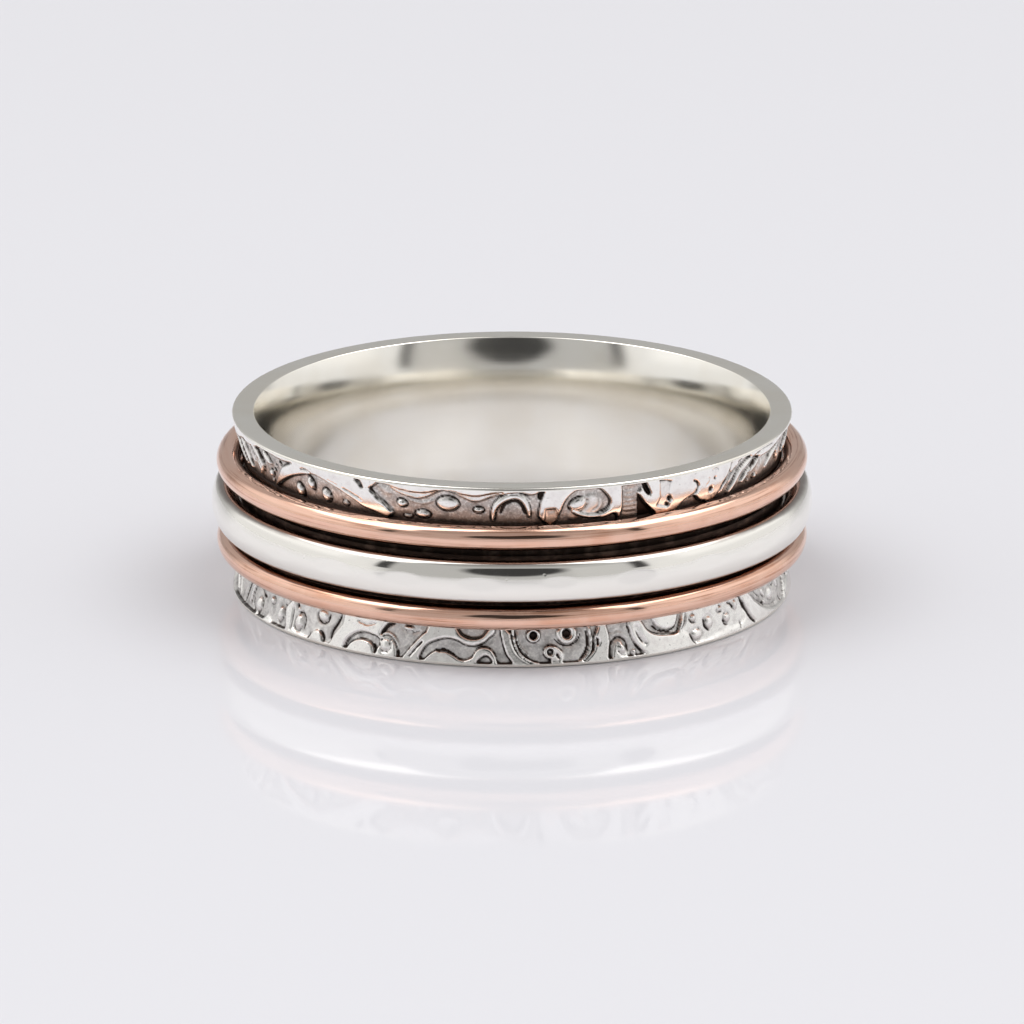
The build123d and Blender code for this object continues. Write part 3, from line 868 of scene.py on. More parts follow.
UPPER_RELIEF: tuple[Motif, ...] = (
    # Strands and petals at the far left, and the wing
    Ground(((-90, 5.0), (-90, 5.9), (-84, 6.05), (-78, 6.25), (-73.4, 6.42), (-70.4, 6.36),
            (-66.4, 6.46), (-64.0, 6.54), (-63.0, 6.05), (-62.4, 5.4), (-62.6, 5.0))),
    Ridge(((-85, 6.5), (-81.2, 6.10), (-77.9, 5.66), (-75.2, 5.38)), 0.15, 1.0, 0.6),
    Ridge(((-77.6, 6.4), (-75.2, 5.98), (-73.2, 5.62), (-71.8, 5.40)), 0.24, 0.75, 0.5),
    Ridge(((-72.4, 6.5), (-70.6, 6.1), (-69.6, 5.7)), 0.20, 0.55, 0.5),
    Ridge(((-68.8, 6.66), (-67.4, 6.42), (-65.8, 6.20), (-64.5, 5.92), (-64.7, 5.62)), 0.21,
          1.05, 0.5),
    Ridge(((-66.9, 5.90), (-66.1, 5.62), (-66.6, 5.40)), 0.14, 0.7),
    Groove(((-73.4, 6.46), (-72.2, 6.26), (-70.5, 6.10)), 0.08, 0.5),
    Ground(((-63.8, 6.57), (-59.6, 6.55), (-56.3, 6.49), (-54.0, 6.47), (-51.2, 6.53),
            (-55.3, 6.20), (-57.4, 5.80), (-58.9, 5.46), (-60.6, 5.0), (-63.6, 5.0),
            (-63.2, 5.6)), curved=False),
    Plateau(((-62.7, 6.50), (-59.9, 6.15), (-60.8, 6.05), (-62.3, 6.20)), 0.85, 0.06),
    Bead(-60.8, 5.70, 0.28, 0.28, 0, 0.85),
    Bead(-56.6, 6.25, 0.14, 0.13, 0, 0.7),
    Bead(-58.4, 6.06, 0.12, 0.12, 0, 0.5),
    Bead(-59.3, 5.86, 0.12, 0.14, 0, 0.6),
    Bead(-61.0, 5.40, 0.16, 0.14, 0, 0.5),
    # Hill with three beads
    Ground(((-60.4, 5.0), (-58.9, 5.30), (-54.0, 5.83), (-49.8, 6.13), (-45.3, 6.34),
            (-42.8, 6.27), (-40.0, 6.12), (-37.1, 5.92), (-34.7, 5.73), (-32.4, 5.50),
            (-29.6, 5.38), (-27.0, 5.20), (-26.8, 5.0))),
    Groove(((-48.6, 6.42), (-47.2, 6.44), (-45.6, 6.38)), 0.12, 0.5),
    Groove(((-37.4, 6.13), (-35.2, 5.97), (-32.6, 5.79)), 0.08, 0.45),
    Groove(((-41.4, 6.32), (-39.6, 6.23), (-38.2, 6.17)), 0.06, 0.25),
    Bead(-50.3, 5.50, 0.42, 0.56, 15),
    Bead(-46.3, 5.92, 0.32, 0.50, 18),
    Bead(-42.2, 5.60, 0.44, 0.54, 12),
    Bead(-37.2, 5.46, 0.30, 0.22, 0, 0.45),
    # Plain strip with its slots
    Groove(((-34.3, 6.68), (-33.0, 6.56), (-32.1, 6.30)), 0.20, 0.8, 0.45),
    Groove(((-29.3, 6.06), (-28.4, 5.96), (-27.5, 5.87)), 0.16, 0.7, 0.5),
    Groove(((-27.0, 5.83), (-26.5, 5.70), (-26.0, 5.56)), 0.13, 0.6, 0.6),
    # Wave with its beads, arch and banks
    Ground(((-24.6, 5.0), (-25.4, 5.45), (-26.8, 5.72), (-29.0, 6.04), (-30.4, 6.28),
            (-29.0, 6.47), (-27.6, 6.67), (-26.6, 6.58), (-24.0, 6.30), (-20.2, 6.13),
            (-17.6, 6.24), (-15.0, 6.49), (-13.6, 6.55), (-11.5, 6.44), (-9.9, 6.29),
            (-7.9, 6.16), (-6.5, 6.18), (-4.4, 6.35), (-2.0, 6.47), (1.5, 6.56), (3.6, 6.46),
            (5.0, 6.50), (6.2, 6.66), (6.5, 6.56), (6.0, 6.2), (5.4, 5.6), (5.4, 5.0))),
    Ground(((-26.0, 6.58), (-23.4, 6.46), (-20.0, 6.40), (-17.4, 6.44), (-15.2, 6.56),
            (-15.3, 6.47), (-18.0, 6.22), (-20.2, 6.11), (-23.0, 6.24), (-25.8, 6.48)), 0.52,
           0.05),
    Ground(((-12.6, 6.58), (-9.5, 6.44), (-6.8, 6.42), (-4.4, 6.52), (-1.8, 6.60), (-2.4, 6.46),
            (-4.4, 6.34), (-6.5, 6.16), (-7.9, 6.14), (-9.9, 6.27), (-11.5, 6.42)), 0.52, 0.05),
    Plateau(((-28.4, 6.44), (-26.6, 6.44), (-25.4, 6.20), (-27.0, 6.16)), 0.42, 0.2),
    Bead(-23.3, 5.86, 0.40, 0.32, -10),
    Bead(-22.2, 5.36, 0.34, 0.18, 0, 0.5),
    Bead(-18.8, 5.50, 0.58, 0.34, 0, 0.75),
    Ridge(((-21.4, 6.0), (-18.6, 5.94), (-16.4, 6.08)), 0.10, 0.35),
    Bead(-13.3, 6.00, 0.84, 0.60, 0),
    Bead(-6.9, 5.80, 0.38, 0.26, 0, 0.85),
    Groove(((-7.8, 5.76), (-6.8, 5.75), (-5.8, 5.76)), 0.06, 0.5, 0.3),
    Ridge(((-4.0, 5.45), (-3.7, 5.85), (-2.7, 6.14), (-0.9, 6.35), (1.0, 6.40), (2.4, 6.22),
           (3.2, 5.92), (3.6, 5.62)), 0.27, 1.0, 0.45),
    Groove(((-2.4, 5.70), (-1.4, 6.04), (0.6, 6.20), (2.0, 6.02), (2.6, 5.7)), 0.16, 0.35, 0.3),
    Ridge(((-1.6, 6.50), (0.4, 6.54), (2.4, 6.42), (3.9, 6.1), (4.4, 5.7)), 0.07, 0.45),
    Groove(((5.6, 6.30), (6.2, 6.62)), 0.20, 0.55, 0.2),
    # Plain block with its ledge
    Ground(((6.6, 5.0), (6.9, 5.88), (8.9, 5.90), (9.6, 5.6), (9.2, 5.0)), 0.55, 0.06, False),
    # Volute
    Ground(((9.0, 5.0), (9.5, 5.45), (10.1, 5.80), (11.0, 6.20), (12.4, 6.48), (14.0, 6.58),
            (17.5, 6.60), (19.3, 6.36), (20.4, 6.08), (20.5, 5.86), (19.6, 5.64), (18.2, 5.52),
            (19.0, 5.3), (20.6, 5.3), (20.6, 5.0))),
    Plateau(((11.9, 5.42), (12.0, 5.78), (12.9, 6.06), (14.2, 6.26), (15.8, 6.30), (17.2, 6.34),
             (18.6, 6.14), (18.9, 5.86), (17.6, 5.60), (15.6, 5.56), (13.9, 5.40)), 0.5, 0.12),
    Bead(13.7, 5.98, 0.72, 0.54, 25, 1.05),
    Groove(((15.1, 6.20), (15.3, 5.98), (15.1, 5.78)), 0.10, 0.3),
    Groove(((16.6, 6.36), (17.8, 6.16), (17.9, 5.86), (16.4, 5.70)), 0.09, 0.3),
    Ridge(((12.6, 5.74), (14.2, 5.60), (16.2, 5.50), (18.6, 5.52), (20.6, 5.72), (22.0, 6.06)),
          0.20, 1.0, 0.25),
    Ground(((14.6, 5.0), (15.0, 5.34), (17.0, 5.38), (19.2, 5.38), (21.6, 5.52), (22.4, 5.3),
            (22.0, 5.0)), 0.05, 0.06),
    # Gate with a ribbed face, a slanted slot and a raised finger
    Ground(((22.7, 5.0), (23.3, 5.75), (22.7, 6.62), (25.2, 6.56), (26.9, 6.68), (28.0, 6.60),
            (29.5, 6.08), (28.6, 6.12), (27.4, 6.40), (26.4, 6.22), (28.6, 5.72), (30.8, 5.34),
            (31.4, 5.0)), 0.22, 0.05, False),
    Groove(((23.6, 6.40), (24.8, 6.36), (26.0, 6.44)), 0.06, 0.3, 0.2),
    Groove(((23.7, 6.22), (24.8, 6.18), (25.8, 6.22)), 0.06, 0.3, 0.2),
    Groove(((23.8, 6.04), (24.9, 6.00), (26.0, 6.02)), 0.06, 0.3, 0.2),
    Groove(((23.8, 5.86), (25.0, 5.82), (26.4, 5.84)), 0.06, 0.3, 0.2),
    Groove(((23.6, 5.68), (25.0, 5.64), (26.6, 5.64)), 0.06, 0.3, 0.2),
    Groove(((23.4, 5.50), (25.0, 5.46), (26.6, 5.44)), 0.06, 0.3, 0.2),
    Groove(((27.6, 6.62), (28.4, 6.36), (29.3, 6.10)), 0.17, 0.75, 0.2),
    Ground(((26.4, 6.20), (28.0, 5.82), (30.9, 5.32), (30.6, 5.0), (27.0, 5.0), (27.0, 5.4)),
           -0.20, 0.06, False),
    # Notch, plain leaf and pits
    Ground(((31.2, 5.60), (32.0, 5.88), (31.3, 6.60), (34.2, 6.46), (34.1, 6.0), (34.8, 5.72),
            (33.8, 5.45)), 0.55, 0.06, False),
    Groove(((31.4, 6.56), (32.8, 6.53), (34.2, 6.46)), 0.07, 0.5, 0.1),
    Groove(((34.3, 5.80), (34.45, 5.74)), 0.15, 0.8, 0.0),
    Groove(((33.9, 5.56), (34.15, 5.54)), 0.13, 0.7, 0.0),
    Groove(((40.2, 6.30), (41.2, 6.16), (41.6, 5.98), (41.0, 5.76), (38.6, 5.56), (37.0, 5.34)),
           0.10, 0.85, 0.35),
    Ground(((36.2, 5.0), (37.0, 5.32), (38.8, 5.50), (41.0, 5.66), (42.6, 5.42), (44.6, 5.30),
            (45.6, 5.0)), 0.0, 0.07),
    Groove(((45.4, 5.78), (45.5, 5.76)), 0.21, 0.85, 0.0),
    Groove(((46.2, 6.18), (46.3, 6.17)), 0.12, 0.7, 0.0),
    Groove(((45.0, 6.52), (46.0, 6.58), (47.2, 6.44)), 0.05, 0.35, 0.2),
    Groove(((44.2, 5.98), (44.8, 6.12), (44.4, 6.26)), 0.06, 0.3, 0.2),
    # Long groove, the leaves to its right and the strap over them
    Groove(((50.8, 6.72), (50.9, 6.36), (50.5, 6.08), (49.2, 5.82), (48.6, 5.58), (47.4, 5.34)),
           0.10, 0.9, 0.4),
    Ground(((47.6, 5.0), (49.3, 5.5), (50.5, 5.85), (51.3, 6.18), (53.4, 6.38), (56.5, 6.58),
            (58.6, 6.46), (60.6, 6.40), (63.4, 6.26), (68.4, 6.34), (73.0, 6.50), (78.0, 6.54),
            (84.0, 6.45), (90.0, 6.30), (90.0, 5.0)), 0.05),
    Ridge(((51.8, 5.36), (53.5, 5.68), (54.6, 6.02), (56.4, 6.22), (58.4, 6.44)), 0.27, 1.0, 0.5),
    Ridge(((51.2, 5.70), (52.2, 5.98), (53.2, 6.18)), 0.11, 0.8, 0.6),
    Ridge(((56.2, 5.58), (57.9, 5.82), (60.2, 6.00), (62.2, 6.28)), 0.22, 1.0, 0.5),
    Groove(((57.4, 5.74), (58.8, 5.92), (60.3, 6.18), (60.9, 6.40)), 0.06, 0.6, 0.4),
    Bead(62.2, 5.53, 0.24, 0.16, 20, 0.8),
    Bead(59.6, 5.46, 0.16, 0.14, 0, 0.6),
    Plateau(((63.0, 5.5), (64.2, 5.95), (66.6, 6.16), (67.6, 5.8), (65.8, 5.4)), 0.4, 0.2),
    Ridge(((66.4, 5.66), (68.0, 5.94), (70.2, 6.18), (71.8, 6.36)), 0.22, 1.0, 0.6),
    Ridge(((73.8, 5.66), (73.3, 5.92), (72.8, 6.16)), 0.13, 0.95),
    Ridge(((76.4, 5.40), (76.8, 5.72), (76.0, 6.02)), 0.18, 0.5),
    Ridge(((79.0, 5.64), (80.4, 5.96), (83.6, 6.20)), 0.15, 0.9),
    Ridge(((86.4, 5.40), (88.0, 5.84), (89.8, 6.16)), 0.22, 0.9),
    Groove(((58.8, 6.40), (60.2, 6.50), (63.3, 6.56), (67.4, 6.58)), 0.06, 0.6, 0.4),
    Groove(((53.4, 6.50), (54.4, 6.60)), 0.09, 0.6, 0.0),
)

LOWER_RELIEF: tuple[Motif, ...] = (
    # Arcade of crescents and beads at the left
    Ground(((-90, 1.7), (-90, 0.7), (-84, 0.22), (-78, 0.06), (-66, 0.08), (-54.8, 0.10),
            (-54.2, 0.5), (-54.6, 0.92), (-54.6, 1.7)), 0.18, 0.12),
    Groove(((-72.4, 1.10), (-73.2, 0.78), (-74.4, 0.20)), 0.19, 0.6, 0.4),
    Ridge(((-68.8, 1.30), (-69.8, 0.82), (-70.4, 0.36)), 0.15, 0.95, 0.4),
    Ridge(((-86, 1.2), (-84.4, 0.8), (-80.6, 0.35)), 0.16, 0.8),
    Ridge(((-79.8, 1.2), (-79.4, 0.7), (-77.8, 0.3)), 0.14, 0.7),
    Groove(((-69.2, 0.62), (-68.8, 0.36), (-67.4, 0.16)), 0.08, 0.45, 0.3),
    Bead(-65.8, 0.52, 0.50, 0.58, -20, 1.0),
    Bead(-66.1, 0.20, 0.22, 0.20, 0, 0.7),
    Groove(((-65.8, 1.06), (-64.8, 0.92), (-63.6, 0.90)), 0.12, 0.5, 0.3),
    Bead(-60.3, 0.92, 0.34, 0.26, 0, 0.8),
    Plateau(((-62.6, 0.10), (-61.4, 0.34), (-59.8, 0.24), (-59.0, 0.08)), 0.7, 0.12),
    Bead(-56.4, 0.60, 0.36, 0.60, -8),
    Groove(((-55.3, 0.98), (-54.7, 0.70), (-54.5, 0.42)), 0.14, 0.55, 0.4),
    Groove(((-52.1, 1.10), (-52.0, 0.60), (-52.1, 0.20)), 0.08, 0.75, 0.3),
    Ground(((-51.9, 1.7), (-51.6, 0.28), (-46.5, 0.14), (-40.4, 0.14), (-39.4, 0.50),
            (-37.4, 0.95), (-37.0, 1.7)), 0.40, 0.10, False),
    Bead(-49.9, 0.57, 0.46, 0.60, -8),
    Groove(((-50.2, 0.90), (-49.0, 0.94), (-48.1, 0.72), (-48.2, 0.42)), 0.09, 0.55, 0.3),
    Bead(-50.5, 1.02, 0.20, 0.18, 0, 0.8),
    Groove(((-51.2, 1.20), (-50.9, 1.06)), 0.12, 0.5, 0.2),
    Bead(-43.1, 1.08, 0.54, 0.44, 0, 0.85),
    Groove(((-44.8, 1.10), (-44.2, 0.86), (-42.9, 0.79), (-41.6, 0.90), (-41.3, 1.14)), 0.08,
           0.55, 0.2),
    Plateau(((-46.0, 0.06), (-45.3, 0.38), (-44.0, 0.52), (-42.8, 0.42), (-42.3, 0.08)), 1.05,
            0.12),
    Groove(((-43.3, 0.52), (-42.3, 0.38), (-42.0, 0.12)), 0.08, 0.6, 0.2),
    Groove(((-45.9, 0.36), (-46.4, 0.18)), 0.05, 0.4, 0.2),
    Groove(((-38.2, 1.25), (-38.9, 0.96), (-40.1, 0.60), (-40.3, 0.30)), 0.14, 0.6, 0.6),
    # Arches and buds
    Ground(((-36.6, 0.14), (-35.5, 0.54), (-33.0, 0.82), (-30.4, 0.82), (-28.2, 0.68),
            (-28.9, 0.18), (-29.6, 0.40), (-30.7, 0.54), (-33.0, 0.56), (-35.0, 0.36),
            (-35.9, 0.12)), 0.15, 0.06),
    Ridge(((-34.8, 0.30), (-33.4, 0.47), (-31.6, 0.50), (-30.2, 0.38)), 0.13, 1.1),
    Groove(((-29.4, 0.44), (-29.0, 0.14)), 0.10, 0.6, 0.2),
    Ridge(((-34.6, 1.12), (-31.6, 1.02), (-28.8, 1.10)), 0.08, 1.2),
    Groove(((-33.6, 1.20), (-31.4, 1.13), (-29.4, 1.22)), 0.07, 0.4, 0.2),
    Ground(((-24.1, 0.12), (-23.8, 0.5), (-24.9, 0.84), (-26.8, 0.96), (-28.1, 0.84),
            (-27.0, 1.20), (-25.2, 1.45), (-24.8, 1.7), (-18.0, 1.7), (-18.2, 1.06),
            (-20.2, 0.7), (-22.3, 0.12)), 0.2, 0.07),
    Groove(((-27.9, 0.90), (-26.6, 1.18), (-25.3, 1.30)), 0.12, 0.5, 0.3),
    Bead(-26.7, 0.50, 0.52, 0.50, 30, 1.05),
    Groove(((-27.4, 0.84), (-25.8, 0.82), (-24.4, 0.56), (-23.8, 0.20)), 0.14, 0.8, 0.5),
    Ridge(((-25.2, 0.60), (-24.6, 0.42), (-24.3, 0.20)), 0.08, 0.8),
    Bead(-21.9, 1.20, 0.42, 0.20, 0, 0.8),
    Groove(((-20.9, 1.04), (-19.6, 1.14)), 0.12, 0.3, 0.2),
    Ridge(((-22.4, 0.18), (-21.2, 0.44), (-19.8, 0.74), (-18.2, 1.08)), 0.15, 1.15),
    Groove(((-21.2, 0.24), (-20.0, 0.52), (-18.6, 0.80)), 0.08, 0.6, 0.3),
    Ridge(((-20.4, 0.28), (-19.2, 0.56), (-18.0, 0.76)), 0.09, 0.9),
    # Long wave
    Ground(((-19.2, 0.14), (-18.6, 0.48), (-17.4, 0.74), (-15.2, 0.92), (-13.2, 0.99),
            (-11.2, 0.92), (-9.8, 0.80), (-8.2, 0.76), (-6.5, 0.84), (-4.8, 1.06), (-3.6, 1.24),
            (-3.2, 1.7), (-2.3, 1.7), (-2.2, 1.2), (-1.6, 0.76), (-0.9, 0.42), (0.7, 0.12),
            (-2.6, 0.10), (-3.2, 0.30), (-4.0, 0.56), (-5.5, 0.66), (-6.9, 0.58), (-8.1, 0.36),
            (-9.5, 0.24), (-10.6, 0.24), (-11.8, 0.38), (-13.4, 0.50), (-15.2, 0.48),
            (-16.4, 0.34), (-17.7, 0.12)), 0.1, 0.06),
    Ridge(((-17.8, 0.16), (-16.7, 0.34), (-15.4, 0.50)), 0.13, 1.15),
    Groove(((-15.8, 0.54), (-14.0, 0.57), (-12.6, 0.48), (-11.4, 0.36)), 0.08, 0.5, 0.4),
    Ridge(((-11.0, 0.24), (-9.6, 0.20), (-8.2, 0.30), (-7.2, 0.50)), 0.06, 1.1),
    Ridge(((-7.6, 0.42), (-6.8, 0.60), (-5.6, 0.66), (-4.4, 0.58), (-3.5, 0.34)), 0.15, 1.1, 0.2),
    Ground(((-7.2, 0.14), (-6.2, 0.36), (-5.0, 0.42), (-4.0, 0.14)), 0.15, 0.08),
    Ground(((-11.4, 1.7), (-10.9, 1.22), (-9.2, 1.04), (-7.4, 1.02), (-5.8, 1.16), (-4.8, 1.7)),
           0.05, 0.10),
    Ridge(((-12.0, 1.16), (-10.6, 0.99), (-8.6, 0.91), (-6.6, 0.97), (-5.0, 1.16), (-4.0, 1.4)),
          0.17, 1.1, 0.1),
    Ridge(((-11.4, 0.98), (-9.4, 0.82), (-7.6, 0.80), (-5.8, 0.92), (-4.4, 1.14), (-3.6, 1.34)),
          0.06, 1.0, 0.1),
    # Strap and medallion
    Ground(((-0.4, 1.7), (-0.3, 1.2), (0.1, 0.84), (1.0, 0.52), (2.6, 0.28), (4.6, 0.12),
            (7.0, 0.06), (9.0, 0.07), (13.6, 0.07), (15.6, 0.26), (17.0, 0.55), (17.2, 0.9),
            (16.8, 1.7)), 0.1, 0.07),
    Ridge(((-2.4, 1.5), (-2.1, 1.18), (-1.5, 0.76), (-0.8, 0.44), (0.6, 0.14)), 0.07, 1.15, 0.1),
    Ridge(((0.1, 1.6), (0.2, 1.2), (0.7, 0.80), (1.6, 0.50), (3.0, 0.30), (4.8, 0.16),
           (7.4, 0.12)), 0.085, 1.15, 0.2),
    Ridge(((0.9, 1.6), (1.0, 1.14), (1.5, 0.80), (2.4, 0.58), (3.4, 0.44)), 0.05, 0.9, 0.3),
    Eyelet(4.4, 1.14, 0.52, 0.26, 1.05),
    Eyelet(7.8, 0.54, 0.50, 0.20, 1.05),
    Ridge(((8.6, 0.72), (9.6, 0.56), (10.2, 0.34), (9.6, 0.12)), 0.20, 0.95, 0.4),
    Plateau(((8.2, 0.12), (8.0, 0.34), (9.0, 0.40), (9.8, 0.12)), 0.8, 0.08),
    Eyelet(11.4, 1.16, 0.78, 0.28, 0.95),
    Groove(((8.6, 1.00), (9.9, 0.80), (11.6, 0.72), (13.4, 0.86), (14.2, 1.10)), 0.07, 0.3, 0.3),
    Plateau(((10.6, 0.20), (10.8, 0.60), (12.4, 0.66), (14.2, 0.60), (14.0, 0.24)), 0.30, 0.2),
    Ridge(((16.0, 1.5), (16.3, 1.1), (16.5, 0.80), (16.0, 0.46), (14.8, 0.24), (13.2, 0.12)),
          0.09, 0.95, 0.2),
    Groove(((15.4, 1.2), (15.7, 0.84), (15.2, 0.50), (14.0, 0.26)), 0.12, 0.3, 0.4),
    Groove(((17.6, 0.90), (17.9, 0.80), (17.7, 0.68)), 0.14, 0.8, 0.3),
    Groove(((16.6, 0.84), (17.0, 0.60), (16.9, 0.48)), 0.06, 0.5, 0.3),
    Ridge(((18.9, 1.35), (19.5, 1.0), (19.8, 0.74), (19.3, 0.42), (18.6, 0.16)), 0.10, 1.2, 0.4),
    # Arch with its bud, slanted strap
    Ground(((19.8, 1.7), (20.2, 1.1), (20.4, 0.7), (19.9, 0.12), (20.6, 0.10), (21.4, 0.10),
            (23.8, 0.10), (24.4, 0.10), (27.6, 0.10), (27.0, 0.34), (25.6, 0.68), (24.8, 1.2),
            (24.7, 1.7)), 0.22, 0.07),
    Groove(((20.3, 0.16), (20.6, 0.62), (22.2, 0.88), (23.9, 0.72), (24.4, 0.36)), 0.15, 0.35,
           0.2),
    Plateau(((21.0, 0.08), (21.3, 0.50), (22.4, 0.74), (23.6, 0.58), (24.0, 0.10)), 0.85, 0.10),
    Bead(22.9, 0.46, 0.30, 0.46, 20, 1.15),
    Groove(((20.6, 1.05), (22.4, 1.10), (24.0, 1.02)), 0.06, 0.25, 0.3),
    Bead(25.6, 0.28, 0.22, 0.24, 0, 0.8),
    Groove(((24.7, 1.2), (25.6, 0.72), (26.8, 0.36), (28.2, 0.18)), 0.10, 0.4, 0.3),
    Ridge(((25.2, 1.4), (25.5, 1.10), (26.3, 0.70), (27.6, 0.34), (29.2, 0.20)), 0.06, 1.1, 0.2),
    Ground(((26.2, 1.16), (26.7, 0.80), (28.0, 0.48), (28.6, 0.56), (27.6, 0.86), (27.1, 1.2)),
           0.6, 0.08),
    Groove(((26.4, 1.0), (27.0, 0.78), (27.7, 0.58)), 0.10, 0.35, 0.3),
    Ridge(((27.4, 1.4), (27.9, 1.05), (28.7, 0.78), (29.6, 0.62)), 0.07, 1.1, 0.2),
    # Crescent under its disc, big leaf
    Ground(((28.0, 1.7), (28.3, 1.20), (29.5, 0.92), (31.4, 0.76), (33.6, 0.70), (36.0, 0.68),
            (37.0, 0.86), (38.0, 1.7)), 0.05, 0.08),
    Plateau(((30.6, 1.7), (31.0, 1.18), (32.6, 0.94), (34.6, 0.88), (36.2, 1.02), (36.9, 1.7)),
            0.75, 0.08),
    Groove(((30.4, 1.1), (32.0, 0.88), (34.4, 0.80), (36.2, 0.92)), 0.06, 0.4, 0.2),
    Ground(((38.4, 1.7), (38.2, 1.0), (37.4, 0.72), (39.0, 0.52), (40.4, 0.16), (43.0, 0.14),
            (48.0, 0.26), (53.0, 0.30), (55.6, 0.36), (56.4, 0.7), (55.6, 1.7)), 0.55, 0.14),
    Groove(((39.2, 1.30), (38.6, 0.98), (37.4, 0.76)), 0.10, 0.4, 0.4),
    Bead(40.8, 1.07, 0.30, 0.28),
    Groove(((39.9, 1.04), (40.4, 0.90), (41.4, 0.88)), 0.07, 0.4, 0.2),
    Bead(45.0, 0.77, 0.42, 0.48),
    Groove(((43.7, 0.90), (43.8, 0.66), (44.7, 0.48)), 0.10, 0.6, 0.3),
    Bead(48.9, 1.11, 0.20, 0.20),
    Groove(((47.8, 1.14), (48.2, 0.98), (49.4, 0.98)), 0.06, 0.4, 0.2),
    Bead(50.6, 0.72, 0.38, 0.36),
    Groove(((49.4, 0.66), (49.7, 0.52), (50.5, 0.46)), 0.09, 0.6, 0.2),
    Bead(53.8, 1.05, 0.24, 0.38),
    Groove(((51.6, 1.20), (52.6, 1.12), (53.0, 0.98)), 0.10, 0.5, 0.2),
    Bead(41.3, 0.46, 0.56, 0.42, 0, 1.05),
    Groove(((39.7, 0.50), (39.9, 0.30), (40.8, 0.12)), 0.08, 0.45, 0.2),
    Groove(((54.8, 0.42), (54.5, 0.24), (54.3, 0.12)), 0.06, 0.6, 0.2),
    Groove(((55.9, 1.30), (56.3, 1.08), (57.2, 0.70), (58.4, 0.38), (60.2, 0.10)), 0.17, 0.9,
           0.75),
    # Rosette and the ridges at the right
    Ground(((60.0, 1.7), (60.1, 1.10), (62.0, 0.76), (64.5, 0.48), (68.3, 0.26), (72.6, 0.18),
            (77.0, 0.24), (80.0, 0.50), (84.0, 0.7), (90.0, 0.9), (90, 1.7)), 0.35, 0.10),
    Groove(((60.8, 1.10), (62.6, 0.84), (65.0, 0.60), (68.2, 0.40), (72.2, 0.34)), 0.10, 0.35,
           0.4),
    Groove(((61.6, 1.30), (62.9, 1.04), (64.4, 0.84)), 0.07, 0.4, 0.3),
    Ridge(((64.9, 1.10), (65.3, 0.94), (65.9, 0.82)), 0.14, 1.05, 0.4),
    Bead(65.4, 0.62, 0.18, 0.16, 0, 0.9),
    Bead(69.3, 0.76, 0.60, 0.50, 0, 0.8),
    Groove(((71.0, 1.10), (71.8, 0.92), (72.6, 1.0)), 0.08, 0.5, 0.3),
    Ridge(((73.4, 1.1), (73.9, 0.80)), 0.12, 0.9, 0.3),
    Groove(((74.2, 0.46), (74.9, 0.26)), 0.13, 0.6, 0.3),
    Ridge(((79.2, 0.9), (78.8, 0.56), (77.2, 0.20)), 0.16, 1.05, 0.4),
    Ridge(((82.6, 1.2), (84.6, 0.70), (85.4, 0.20)), 0.18, 1.05, 0.3),
    Groove(((86.8, 1.0), (87.6, 0.6)), 0.14, 0.5, 0.3),
)


@dataclass
class ReliefChart:
    """Levels of one relief zone over half the band, which the other half repeats."""

    motifs: tuple[Motif, ...]
    scale: ChartScale
    low: float
    high: float
    border: float = 0.05
    seam: float = 90.0
    lowest: float = -0.7
    highest: float = 1.15

    def levels(self, azimuths: np.ndarray, heights: np.ndarray) -> np.ndarray:
        """Level of the relief at some chart places.

        Args:
            azimuths: Degrees from the front.
            heights: Millimetres above the lower rim.

        Returns:
            Level at each place: 1 at the skin, 0 at the floor of the grounds.
        """
        turned = (azimuths + self.seam) % 180 - self.seam
        spots = np.column_stack([turned * self.scale.mm_per_degree, heights])
        level = np.ones(len(spots))
        for motif in self.motifs:
            near = motif.covers(spots, self.scale)
            level[near] = motif.shape(level[near], spots[near], self.scale)
        edge = np.minimum(heights - self.low, self.high - heights)
        kept = eased(edge, 0, self.border)
        return 1 + (np.clip(level, self.lowest, self.highest) - 1) * kept


def blurred(grid: np.ndarray, passes: int) -> np.ndarray:
    """Softens a grid of levels whose rows are columns round the ring.

    Args:
        grid: Levels, with the last row next to the first on the ring.
        passes: How many times each level is mixed with its neighbours.

    Returns:
        The softened grid.
    """
    for _ in range(passes):
        wide = (np.roll(grid, -1, 0) + grid + np.roll(grid, 1, 0)) / 3
        tall = np.pad(wide, ((0, 0), (1, 1)), mode="edge")
        grid = (tall[:, :-2] + tall[:, 1:-1] + tall[:, 2:]) / 3
    return grid


